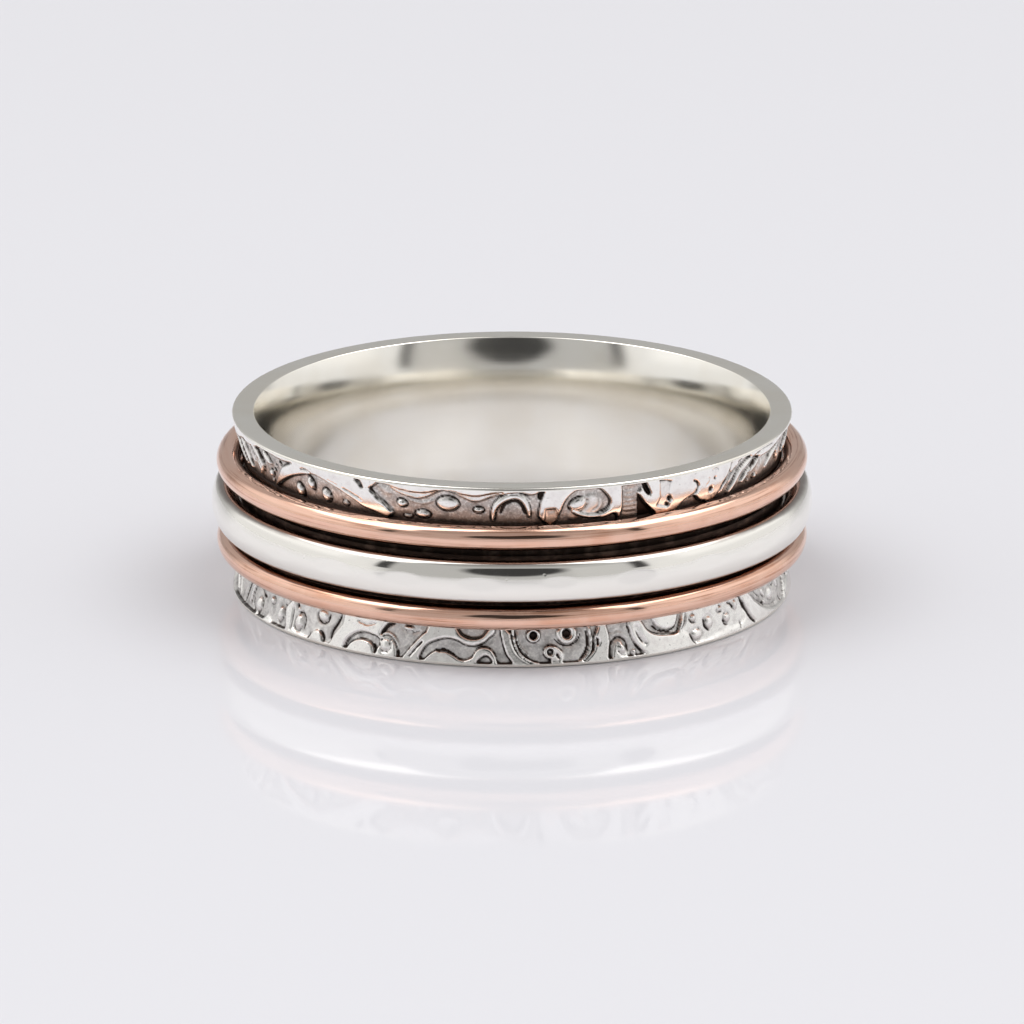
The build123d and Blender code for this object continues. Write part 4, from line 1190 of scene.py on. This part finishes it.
@dataclass
class FlaredBand:
    """The band: a bore and a straight track between two flares with cast relief."""

    bore_radius: float = 9.07 * MM
    wall: float = 0.70 * MM
    height: float = 6.75 * MM
    track_flat: float = 2.40 * MM
    rim_inner_radius: float = 9.50 * MM
    rim_outer_radius: float = 10.31 * MM
    skin_lean: float = radians(12.5)
    skin_sweep: float = 0.80 * MM
    outer_round: float = 0.10 * MM
    inner_round: float = 0.07 * MM
    relief_depth: float = 0.15 * MM
    wear: float = 0.3
    upper_zone: Place = (5.12 * MM, 6.62 * MM)
    lower_zone: Place = (0.13 * MM, 1.58 * MM)
    relief_columns: int = 1344
    relief_rows: int = 31
    plain_columns: int = 224
    rim_steps: int = 5
    bore_rows: int = 13
    track_rows: int = 6
    track_gap: float = 0.02 * MM
    # Strengths of the darkening: patina in corners and pits, painted shade in the wider hollows,
    # and darkening on the steep banks.
    corner_oxide: float = 2.4
    painted_hollow_shade: float = 0.35
    bank_darkening: float = 0.9
    bank_start: float = 0.10
    pit_oxide: float = 5
    pit_start: float = -0.02
    ground_start: float = 0.25
    ground_full: float = 0.8
    finish: OxidisedCastSilver = field(default_factory=OxidisedCastSilver)
    bore_finish: SatinBoreSilver = field(default_factory=SatinBoreSilver)
    track_finish: TrackPatinaAndPaintedShade = field(default_factory=TrackPatinaAndPaintedShade)

    @property
    def middle(self) -> float:
        """Height of the track's middle."""
        return self.height / 2

    def past_track(self, up: float) -> float:
        """How far a height is above or below the straight track."""
        return max(abs(up - self.middle) - self.track_flat / 2, 0.0)

    @property
    def rise(self) -> float:
        """Height of each flare, from the straight track to the rim."""
        return self.middle - self.track_flat / 2

    def skin(self, up: float) -> float:
        """Radius of the outer skin at a height.

        The skin leaves the track upright, sweeps out and then leans straight to the rim.
        """
        past, slope = self.past_track(up), tan(self.skin_lean)
        if past >= self.skin_sweep:
            return self.rim_outer_radius - slope * (self.rise - past)
        track = self.bore_radius + self.wall
        spread = self.rim_outer_radius - slope * (self.rise - self.skin_sweep) - track
        share = past / self.skin_sweep
        return (track + spread * share**2 * (3 - 2 * share)
                + slope * self.skin_sweep * (share**3 - share**2))

    def bore(self, up: float) -> float:
        """Radius of the bore at a height: upright at the track, then an arc out to the rim."""
        spread = self.rim_inner_radius - self.bore_radius
        sweep = (spread**2 + self.rise**2) / (2 * spread)
        return self.bore_radius + sweep - sqrt(sweep**2 - self.past_track(up) ** 2)

    def rim_profile(self) -> list[Place]:
        """Corners from the outer skin over the upper rim to the bore, with eased edges."""
        bore_lean = 2 * atan2(self.rim_inner_radius - self.bore_radius, self.rise)
        edges = ((self.rim_outer_radius, self.skin_lean, self.outer_round, 1),
                 (self.rim_inner_radius, bore_lean, self.inner_round, -1))
        corners: list[Place] = []
        for rim_radius, lean, rounding, side in edges:
            reach = rounding / tan((pi / 2 - side * lean) / 2)
            centre = rim_radius - side * reach, self.height - rounding
            start, end = -lean * side, pi / 2
            arc = []
            for step in range(self.rim_steps + 1):
                turn = start + (end - start) * step / self.rim_steps
                arc.append((centre[0] + side * rounding * cos(turn),
                            centre[1] + rounding * sin(turn)))
            corners += arc if side > 0 else arc[::-1]
        return corners

    def plain_profile(self) -> list[Place]:
        """Corners from the upper relief over the rim, down the bore and up to the lower relief."""
        over = self.rim_profile()
        under = [(radius, self.height - up) for radius, up in reversed(over)]
        top, bottom = over[-1][1], under[0][1]
        inside = []
        for row in range(1, self.bore_rows):
            up = top + (bottom - top) * row / self.bore_rows
            inside.append((self.bore(up), up))
        return [*over, *inside, *under]

    def track_profile(self) -> list[Place]:
        """Corners of the track, between the two relief zones."""
        zone = self.lower_zone[1] + self.track_gap, self.upper_zone[0] - self.track_gap
        return self.skin_profile(zone, self.track_rows)

    def skin_profile(self, zone: Place, rows: int) -> list[Place]:
        """Corners of the outer skin from one height to another, evenly spaced in height."""
        low, high = zone
        heights = [low + (high - low) * row / rows for row in range(rows + 1)]
        return [(self.skin(up), up) for up in heights]

    def carve(self, strip: bpy.types.Object, zone: Place, motifs: tuple[Motif, ...]) -> None:
        """Presses the cast relief into a strip and marks its grounds, its patina and its painted
        shade.

        Args:
            strip: Fine strip of the skin.
            zone: Lowest and highest height of the relief.
            motifs: Motifs of the relief chart.
        """
        places = vertex_places(strip)
        radii = np.hypot(places[:, 0], places[:, 1])
        azimuths = np.degrees(np.arctan2(places[:, 0], -places[:, 1]))
        middle = (zone[0] + zone[1]) / 2
        scale = ChartScale(radians(1) * self.skin(middle) / MM)
        chart = ReliefChart(motifs, scale, zone[0] / MM, zone[1] / MM)
        turned = (azimuths - azimuths[0]) * self.relief_columns / 360
        column = np.round(turned).astype(int) % self.relief_columns
        order = np.lexsort((places[:, 2], column))
        sharp = chart.levels(azimuths, places[:, 2] / MM)[order]
        sharp = sharp.reshape(-1, self.relief_rows + 1)
        soft = blurred(sharp, 1)
        grid = sharp * (1 - self.wear) + soft * self.wear
        grid[:, [0, -1]] = 1.0
        level = np.empty(len(places))
        level[order] = grid.ravel()

        step = MM / 100
        sweep = np.array([self.skin(up + step) - self.skin(up - step)
                          for up in places[:, 2]]) / (2 * step)
        lean = np.arctan(sweep)
        sink = (1 - level) * self.relief_depth
        radial = places[:, :2] / radii[:, None]
        places[:, :2] -= radial * (sink * np.cos(lean))[:, None]
        places[:, 2] += sink * np.sin(lean)
        place_vertices(strip, places)

        # Patina in corners and pits. The wide blur paints shade into whole hollows, and the steep
        # banks are darkened too.
        near, far = blurred(soft, 1), blurred(soft, 5)
        corner_patina_and_hollow_shade = (np.clip(near - grid, 0, 1) * self.corner_oxide
                  + np.clip(far - grid, 0, 1) * self.painted_hollow_shade)
        bank = np.clip(np.hypot(*np.gradient(grid)) - self.bank_start, 0, 1) * self.bank_darkening
        pits = np.clip(self.pit_start - grid, 0, 1) * self.pit_oxide
        marks = {"oxide_and_painted_shade": np.clip(corner_patina_and_hollow_shade + bank + pits, 0, 1),
                 "ground": eased(1 - grid, self.ground_start, self.ground_full)}
        for name, values in marks.items():
            spread = np.empty(len(places), np.float32)
            spread[order] = values.ravel()
            layer = strip.data.attributes.new(name, "FLOAT", "POINT")
            layer.data.foreach_set("value", spread)

    def join_loops(self, band: bpy.types.Object, height_a: float, height_b: float) -> None:
        """Bridges two open loops of the outer skin.

        Args:
            band: Joined strips.
            height_a: Height of one loop.
            height_b: Height of the other loop.
        """
        edit(band)
        bpy.ops.mesh.select_all(action="DESELECT")
        bpy.ops.mesh.select_non_manifold(extend=False, use_wire=False, use_multi_face=False,
                                         use_non_contiguous=False, use_verts=False)
        close_edit()
        ups = vertex_places(band)[:, 2]
        open_ends = np.empty(len(ups), bool)
        band.data.vertices.foreach_get("select", open_ends)
        away = np.minimum(np.abs(ups - height_a), np.abs(ups - height_b))
        chosen = open_ends & (away < 2 * WELD)
        ends = np.empty(len(band.data.edges) * 2, np.int32)
        band.data.edges.foreach_get("vertices", ends)
        band.data.vertices.foreach_set("select", chosen)
        band.data.edges.foreach_set("select", chosen[ends.reshape(-1, 2)].all(1))
        bpy.ops.object.mode_set(mode="EDIT")
        bpy.ops.mesh.select_mode(type="EDGE")
        bpy.ops.mesh.bridge_edge_loops()
        close_edit()

    def build(self) -> bpy.types.Object:
        """Builds and dresses the band.

        Returns:
            The band as one closed mesh.
        """
        reliefs = []
        for name, zone, motifs in (("upper_relief", self.upper_zone, UPPER_RELIEF),
                                   ("lower_relief", self.lower_zone, LOWER_RELIEF)):
            corners = self.skin_profile(zone, self.relief_rows)
            reliefs.append(turned_strip(name, corners, self.relief_columns))
            self.carve(reliefs[-1], zone, motifs)
        upper, lower = reliefs
        plain_corners, track_corners = self.plain_profile(), self.track_profile()
        plain = turned_strip("plain_skin", plain_corners, self.plain_columns)
        track = turned_strip("track", track_corners, self.plain_columns)
        bpy.ops.object.select_all(action="DESELECT")
        for strip in (lower, plain, track, upper):
            strip.select_set(True)
        bpy.context.view_layer.objects.active = upper
        bpy.ops.object.join()
        band = bpy.context.object
        band.name = band.data.name = "cast_band"
        self.join_loops(band, self.upper_zone[1], plain_corners[0][1])
        self.join_loops(band, plain_corners[-1][1], self.lower_zone[0])
        self.join_loops(band, self.lower_zone[1], track_corners[0][1])
        self.join_loops(band, track_corners[-1][1], self.upper_zone[0])
        face_outwards(band)
        self.share_finishes(band)
        hand_over(band, "base_band", Body.BAND,
                  (self.finish.material(), self.bore_finish.material(),
                   self.track_finish.material()))
        return band

    def share_finishes(self, band: bpy.types.Object) -> None:
        """Gives the rims and the bore the second finish, and the track the third."""
        count = len(band.data.polygons)
        centres = np.empty(count * 3, np.float32)
        band.data.polygons.foreach_get("center", centres)
        across, deep, ups = centres.reshape(-1, 3).T
        skin = np.interp(ups, *self.skin_table())
        outer = np.hypot(across, deep) > skin - 0.3 * MM
        on_relief = outer & (ups > self.lower_zone[0]) & (ups < self.upper_zone[1])
        on_track = on_relief & (ups > self.lower_zone[1]) & (ups < self.upper_zone[0])
        finish = np.where(on_track, 2, np.where(on_relief, 0, 1))
        band.data.polygons.foreach_set("material_index", finish.astype(np.int32))
        band.data.update()

    def skin_table(self) -> tuple[list[float], list[float]]:
        """Heights from rim to rim, and the skin's radius at each."""
        rows = 100
        heights = [self.height * row / rows for row in range(rows + 1)]
        return heights, [self.skin(up) for up in heights]


@dataclass
class WireSpinner:
    """A loose ring of drawn copper wire."""

    name: str
    node: str
    body: Body
    finish: RoseCopper
    wire: float = 0.90 * MM
    columns: int = 544
    rows: int = 40
    waver: float = 0.012 * MM
    lift: float = 0.0
    tip: float = 0.0

    # Swells round the ring, turns of each one about the wire, its shift and its share
    swells: ClassVar[tuple[tuple[float, ...], ...]] = (
        (7, 0, 0.6, 0.5), (17, 2, 0.0, 0.3), (31, -1, 0.0, 0.2))

    def build(self) -> bpy.types.Object:
        """Builds and dresses the wire ring, which is a trace out of true as hand-closed rings are.

        Returns:
            The ring as one closed mesh.
        """
        low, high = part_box(self.node)
        middle = (low.z + high.z) / 2
        wire_radius = self.wire / 2
        centre_radius = high.x - wire_radius
        profile = []
        for row in range(self.rows):
            turn = 2 * pi * row / self.rows
            profile.append((centre_radius + wire_radius * cos(turn),
                            middle + wire_radius * sin(turn)))
        ring = turned_strip(self.name, profile, self.columns, closed=True)
        places = vertex_places(ring)
        azimuths = np.arctan2(places[:, 0], -places[:, 1])
        radii = np.hypot(places[:, 0], places[:, 1])
        around = np.arctan2(places[:, 2] - middle, radii - centre_radius)
        swell = sum(np.sin(azimuths * count + winds * around + shift) * share
                    for count, winds, shift, share in self.swells)
        inwards = self.waver * (swell - 1) / 2
        places[:, 0] += np.sin(azimuths) * np.cos(around) * inwards
        places[:, 1] -= np.cos(azimuths) * np.cos(around) * inwards
        places[:, 2] += np.sin(around) * inwards + self.lift + self.tip * np.sin(azimuths)
        place_vertices(ring, places)
        face_outwards(ring)
        hand_over(ring, self.node, self.body, (self.finish.material(),))
        return ring


@dataclass(frozen=True)
class HammerMark:
    """One soft flat that the hammer left on the middle spinner."""

    azimuth: float
    depth: float
    tilt: float


def hammer_marks() -> tuple[HammerMark, ...]:
    """Marks in the order that they lie round the ring, from the front towards +X."""
    turns = (-6, 9, 24, 40, 54, 70, 84, 100, 115, 129, 146, 160, 176, 190, 205, 221, 235, 250,
             266, 280, 295, 310, 324, 339)
    depths = (0.026, 0.020, 0.028, 0.023, 0.026, 0.020, 0.028, 0.025)
    tilts = (2.0, -1.5, 1.0, -2.0, 1.5, 0.0, -1.0)
    return tuple(HammerMark(turn, depths[index % len(depths)] * MM,
                            radians(tilts[index % len(tilts)]))
                 for index, turn in enumerate(turns))


@dataclass
class HammeredSpinner:
    """The middle spinner: a domed silver ring with round shoulders and soft hammered flats."""

    outer_radius: float = 11.05 * MM
    inner_radius: float = 9.95 * MM
    dome_radius: float = 1.35 * MM
    upper_shoulder: float = 0.38 * MM
    lower_shoulder: float = 0.20 * MM
    inner_round: float = 0.12 * MM
    columns: int = 896
    dome_rows: int = 18
    shoulder_rows: int = 12
    inner_rows: int = 3
    mark_edge: float = 0.006 * MM
    mark_reach: float = 0.5
    marks: tuple[HammerMark, ...] = field(default_factory=hammer_marks)
    finish: PolishedSpinnerSilver = field(default_factory=PolishedSpinnerSilver)

    def profile(self, low: float, high: float) -> list[Place]:
        """Corners of the section, from the dome's lower end over the upper face to the lower.

        Args:
            low: Height of the lower face.
            high: Height of the upper face.

        Returns:
            Radius and height of each corner.
        """
        middle, half = (low + high) / 2, (high - low) / 2
        dome_centre = self.outer_radius - self.dome_radius
        corners = []
        turn_ups = {}
        for side, shoulder in ((-1, self.lower_shoulder), (1, self.upper_shoulder)):
            turn_ups[side] = asin((half - shoulder) / (self.dome_radius - shoulder))
        for row in range(self.dome_rows + 1):
            turn = -turn_ups[-1] + (turn_ups[-1] + turn_ups[1]) * row / self.dome_rows
            corners.append((dome_centre + self.dome_radius * cos(turn),
                            middle + self.dome_radius * sin(turn)))
        for side, shoulder in ((1, self.upper_shoulder), (-1, self.lower_shoulder)):
            turn_up = turn_ups[side]
            shoulder_centre = dome_centre + (self.dome_radius - shoulder) * cos(turn_up)
            part = []
            for row in range(1, self.shoulder_rows + 1):
                turn = turn_up + (pi / 2 - turn_up) * row / self.shoulder_rows
                part.append((shoulder_centre + shoulder * cos(turn),
                             middle + side * (half - shoulder * (1 - sin(turn)))))
            for step in range(self.inner_rows + 1):
                turn = pi / 2 * step / self.inner_rows
                part.append((self.inner_radius + self.inner_round * (1 - sin(turn)),
                             middle + side * (half - self.inner_round * (1 - cos(turn)))))
            corners += part if side > 0 else part[::-1]
        return corners

    def build(self) -> bpy.types.Object:
        """Builds and dresses the middle spinner.

        Returns:
            The ring as one closed mesh.
        """
        low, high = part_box("centre_silver_spinner")
        middle = (low.z + high.z) / 2
        ring = turned_strip("hammered_silver_spinner", self.profile(low.z, high.z), self.columns,
                            closed=True)
        places = vertex_places(ring)
        radii = np.hypot(places[:, 0], places[:, 1])
        azimuths = np.arctan2(places[:, 0], -places[:, 1])
        pressed = np.zeros(len(radii))
        for mark in self.marks:
            away = (azimuths - radians(mark.azimuth) + pi) % (2 * pi) - pi
            turned = np.clip(away, -self.mark_reach, self.mark_reach)
            level = (self.outer_radius - mark.depth) / np.cos(turned)
            level = level + (places[:, 2] - middle) * tan(mark.tilt)
            over = np.where(np.abs(away) < self.mark_reach, radii - level, -1.0)
            pressed = np.maximum(pressed, (over + np.sqrt(over**2 + self.mark_edge**2)) / 2)
        places[:, 0] -= np.sin(azimuths) * pressed
        places[:, 1] += np.cos(azimuths) * pressed
        place_vertices(ring, places)
        face_outwards(ring)
        hand_over(ring, "centre_silver_spinner", Body.CENTRE_SPINNER,
                  (self.finish.material(),))
        return ring


@dataclass(frozen=True)
class TentPanel:
    """A stretch of the tent that is brighter or darker than the rest, as the ring sees it.

    The azimuths and elevations are in degrees. A mirrored panel stands both to the left and to
    the right of the front, and an oval one has no corners.
    """

    azimuth: float
    half_width: float
    low: float
    high: float
    blur: float
    level: float
    mirrored: bool = False
    oval: bool = False

    def cover(self, sheet: NodeSheet, azimuth: bpy.types.NodeSocket,
              elevation: bpy.types.NodeSocket) -> bpy.types.NodeSocket:
        """Share of the panel in each direction: 1 inside it and 0 outside it.

        Args:
            sheet: Node sheet of the world.
            azimuth: Azimuth of the direction, or its size alone for a mirrored panel.
            elevation: Elevation of the direction.

        Returns:
            The share's socket.
        """
        turned = sheet.sum("ABSOLUTE", sheet.sum("SUBTRACT", azimuth, self.azimuth))
        if self.oval:
            middle, half = (self.high + self.low) / 2, (self.high - self.low) / 2
            aside = sheet.sum("DIVIDE", turned, self.half_width)
            above = sheet.sum("DIVIDE", sheet.sum("SUBTRACT", elevation, middle), half)
            squares = sheet.sum("MULTIPLY_ADD", aside, aside, sheet.sum("MULTIPLY", above, above))
            soft = self.blur / half
            return sheet.ease(sheet.sum("SQRT", squares), 1 - soft, 1 + soft, 1.0, 0.0)
        across = sheet.ease(turned, self.half_width - self.blur, self.half_width + self.blur,
                            1.0, 0.0)
        above = sheet.ease(elevation, self.low - self.blur, self.low + self.blur)
        below = sheet.ease(elevation, self.high - self.blur, self.high + self.blur, 1.0, 0.0)
        return sheet.sum("MULTIPLY", across, sheet.sum("MULTIPLY", above, below))


@dataclass
class WhiteTent:
    """Acrylic floor, the white tent round the ring and the camera."""

    floor_size: float = 4.0
    floor_drop: float = 0.01 * MM
    glow: Colour = (0.97, 0.965, 0.96)
    backdrop: Colour = (0.80, 0.79, 0.83)
    cloth: float = 0.50
    panels: tuple[TentPanel, ...] = (
        TentPanel(92, 42, -5, 44, 7, 0.86, True),
        TentPanel(98, 30, 14, 46, 6, 1.03, True),
        TentPanel(92, 42, 44, 86, 4, 2.70, True),
        TentPanel(36, 14, -5, 30, 4, 0.60),
        TentPanel(0, 44, 48, 84, 5, 0.40),
        TentPanel(180, 30, 36, 68, 4, 0.25, True),
        TentPanel(180, 34, -5, 24, 5, 0.45, True),
        TentPanel(1, 20, 8, 41, 3, 0.05, oval=True),
        TentPanel(50, 3, 8, 32, 1.5, 0.06, True),
    )
    floor_finish: GlossyAcrylic = field(default_factory=GlossyAcrylic)
    elevation: float = radians(16.9)
    distance: float = 400 * MM
    aim_height: float = 2.75 * MM
    frame_pixels: int = 1024
    pixels_per_mm: float = 27.15
    sensor: float = 36.0

    def build_floor(self) -> bpy.types.Object:
        """Lays the acrylic floor under the ring."""
        bpy.ops.object.select_all(action="DESELECT")
        bpy.ops.mesh.primitive_plane_add(size=self.floor_size, location=(0, 0, -self.floor_drop))
        floor = bpy.context.object
        floor.name = "acrylic_floor"
        floor.data.materials.append(self.floor_finish.material())
        return floor

    def build_tent(self) -> bpy.types.World:
        """Sets the world to a white tent with dark gaps that only reflections show."""
        world = bpy.data.worlds.new("white_tent")
        world.use_nodes = True
        bpy.context.scene.world = world
        sheet = NodeSheet(world.node_tree)
        towards = sheet.add("ShaderNodeTexCoord").outputs["Generated"]
        across, deep, up = sheet.parts(towards)
        backwards = sheet.sum("MULTIPLY", deep, -1.0)
        azimuth = sheet.sum("DEGREES", sheet.sum("ARCTAN2", across, backwards))
        aside = sheet.sum("ABSOLUTE", azimuth)
        elevation = sheet.sum("DEGREES", sheet.sum("ARCSINE", up))
        strength: object = self.cloth
        for panel in self.panels:
            cover = panel.cover(sheet, aside if panel.mirrored else azimuth, elevation)
            change = sheet.sum("SUBTRACT", panel.level, strength)
            strength = sheet.sum("MULTIPLY_ADD", cover, change, strength)
        lit = sheet.add("ShaderNodeBackground")
        lit.inputs["Color"].default_value = (*self.glow, 1.0)
        sheet.join(strength, lit.inputs["Strength"])
        plain = sheet.add("ShaderNodeBackground")
        plain.inputs["Color"].default_value = (*self.backdrop, 1.0)
        mix = sheet.add("ShaderNodeMixShader")
        seen = sheet.add("ShaderNodeLightPath").outputs["Is Camera Ray"]
        sheet.join(seen, mix.inputs[0])
        sheet.join(lit.outputs[0], mix.inputs[1])
        sheet.join(plain.outputs[0], mix.inputs[2])
        output = sheet.add("ShaderNodeOutputWorld")
        sheet.join(mix.outputs[0], output.inputs["Surface"])
        return world

    def build_camera(self) -> bpy.types.Object:
        """Sets the camera at the photograph's viewing angle."""
        lens = bpy.data.cameras.new("photo_camera")
        camera = bpy.data.objects.new("photo_camera", lens)
        bpy.context.scene.collection.objects.link(camera)
        aim = Vector((0, 0, self.aim_height))
        view = Vector((0, -cos(self.elevation), sin(self.elevation)))
        camera.location = aim + view * self.distance
        camera.rotation_euler = (-view).to_track_quat("-Z", "Y").to_euler()
        lens.sensor_width = self.sensor
        lens.lens = self.sensor * self.pixels_per_mm * self.distance / MM / self.frame_pixels
        lens.clip_start = 10 * MM
        bpy.context.scene.camera = camera
        return camera


def main() -> None:
    """Builds the studio and the ring's four pieces."""
    logging.basicConfig(level=logging.INFO, format="%(message)s")
    bpy.context.scene.view_settings.view_transform = "Standard"
    tent = WhiteTent()
    tent.build_camera()
    tent.build_floor()
    tent.build_tent()
    copper = RoseCopper()
    makers: list[Callable[[], bpy.types.Object]] = [
        FlaredBand().build,
        WireSpinner("upper_wire_spinner", "upper_copper_spinner", Body.UPPER_SPINNER,
                    copper, lift=0.02 * MM, tip=0.05 * MM).build,
        HammeredSpinner().build,
        WireSpinner("lower_wire_spinner", "lower_copper_spinner", Body.LOWER_SPINNER,
                    copper, lift=0.10 * MM, tip=0.04 * MM).build,
    ]
    for make in makers:
        make()


if __name__ == "__main__":
    main()
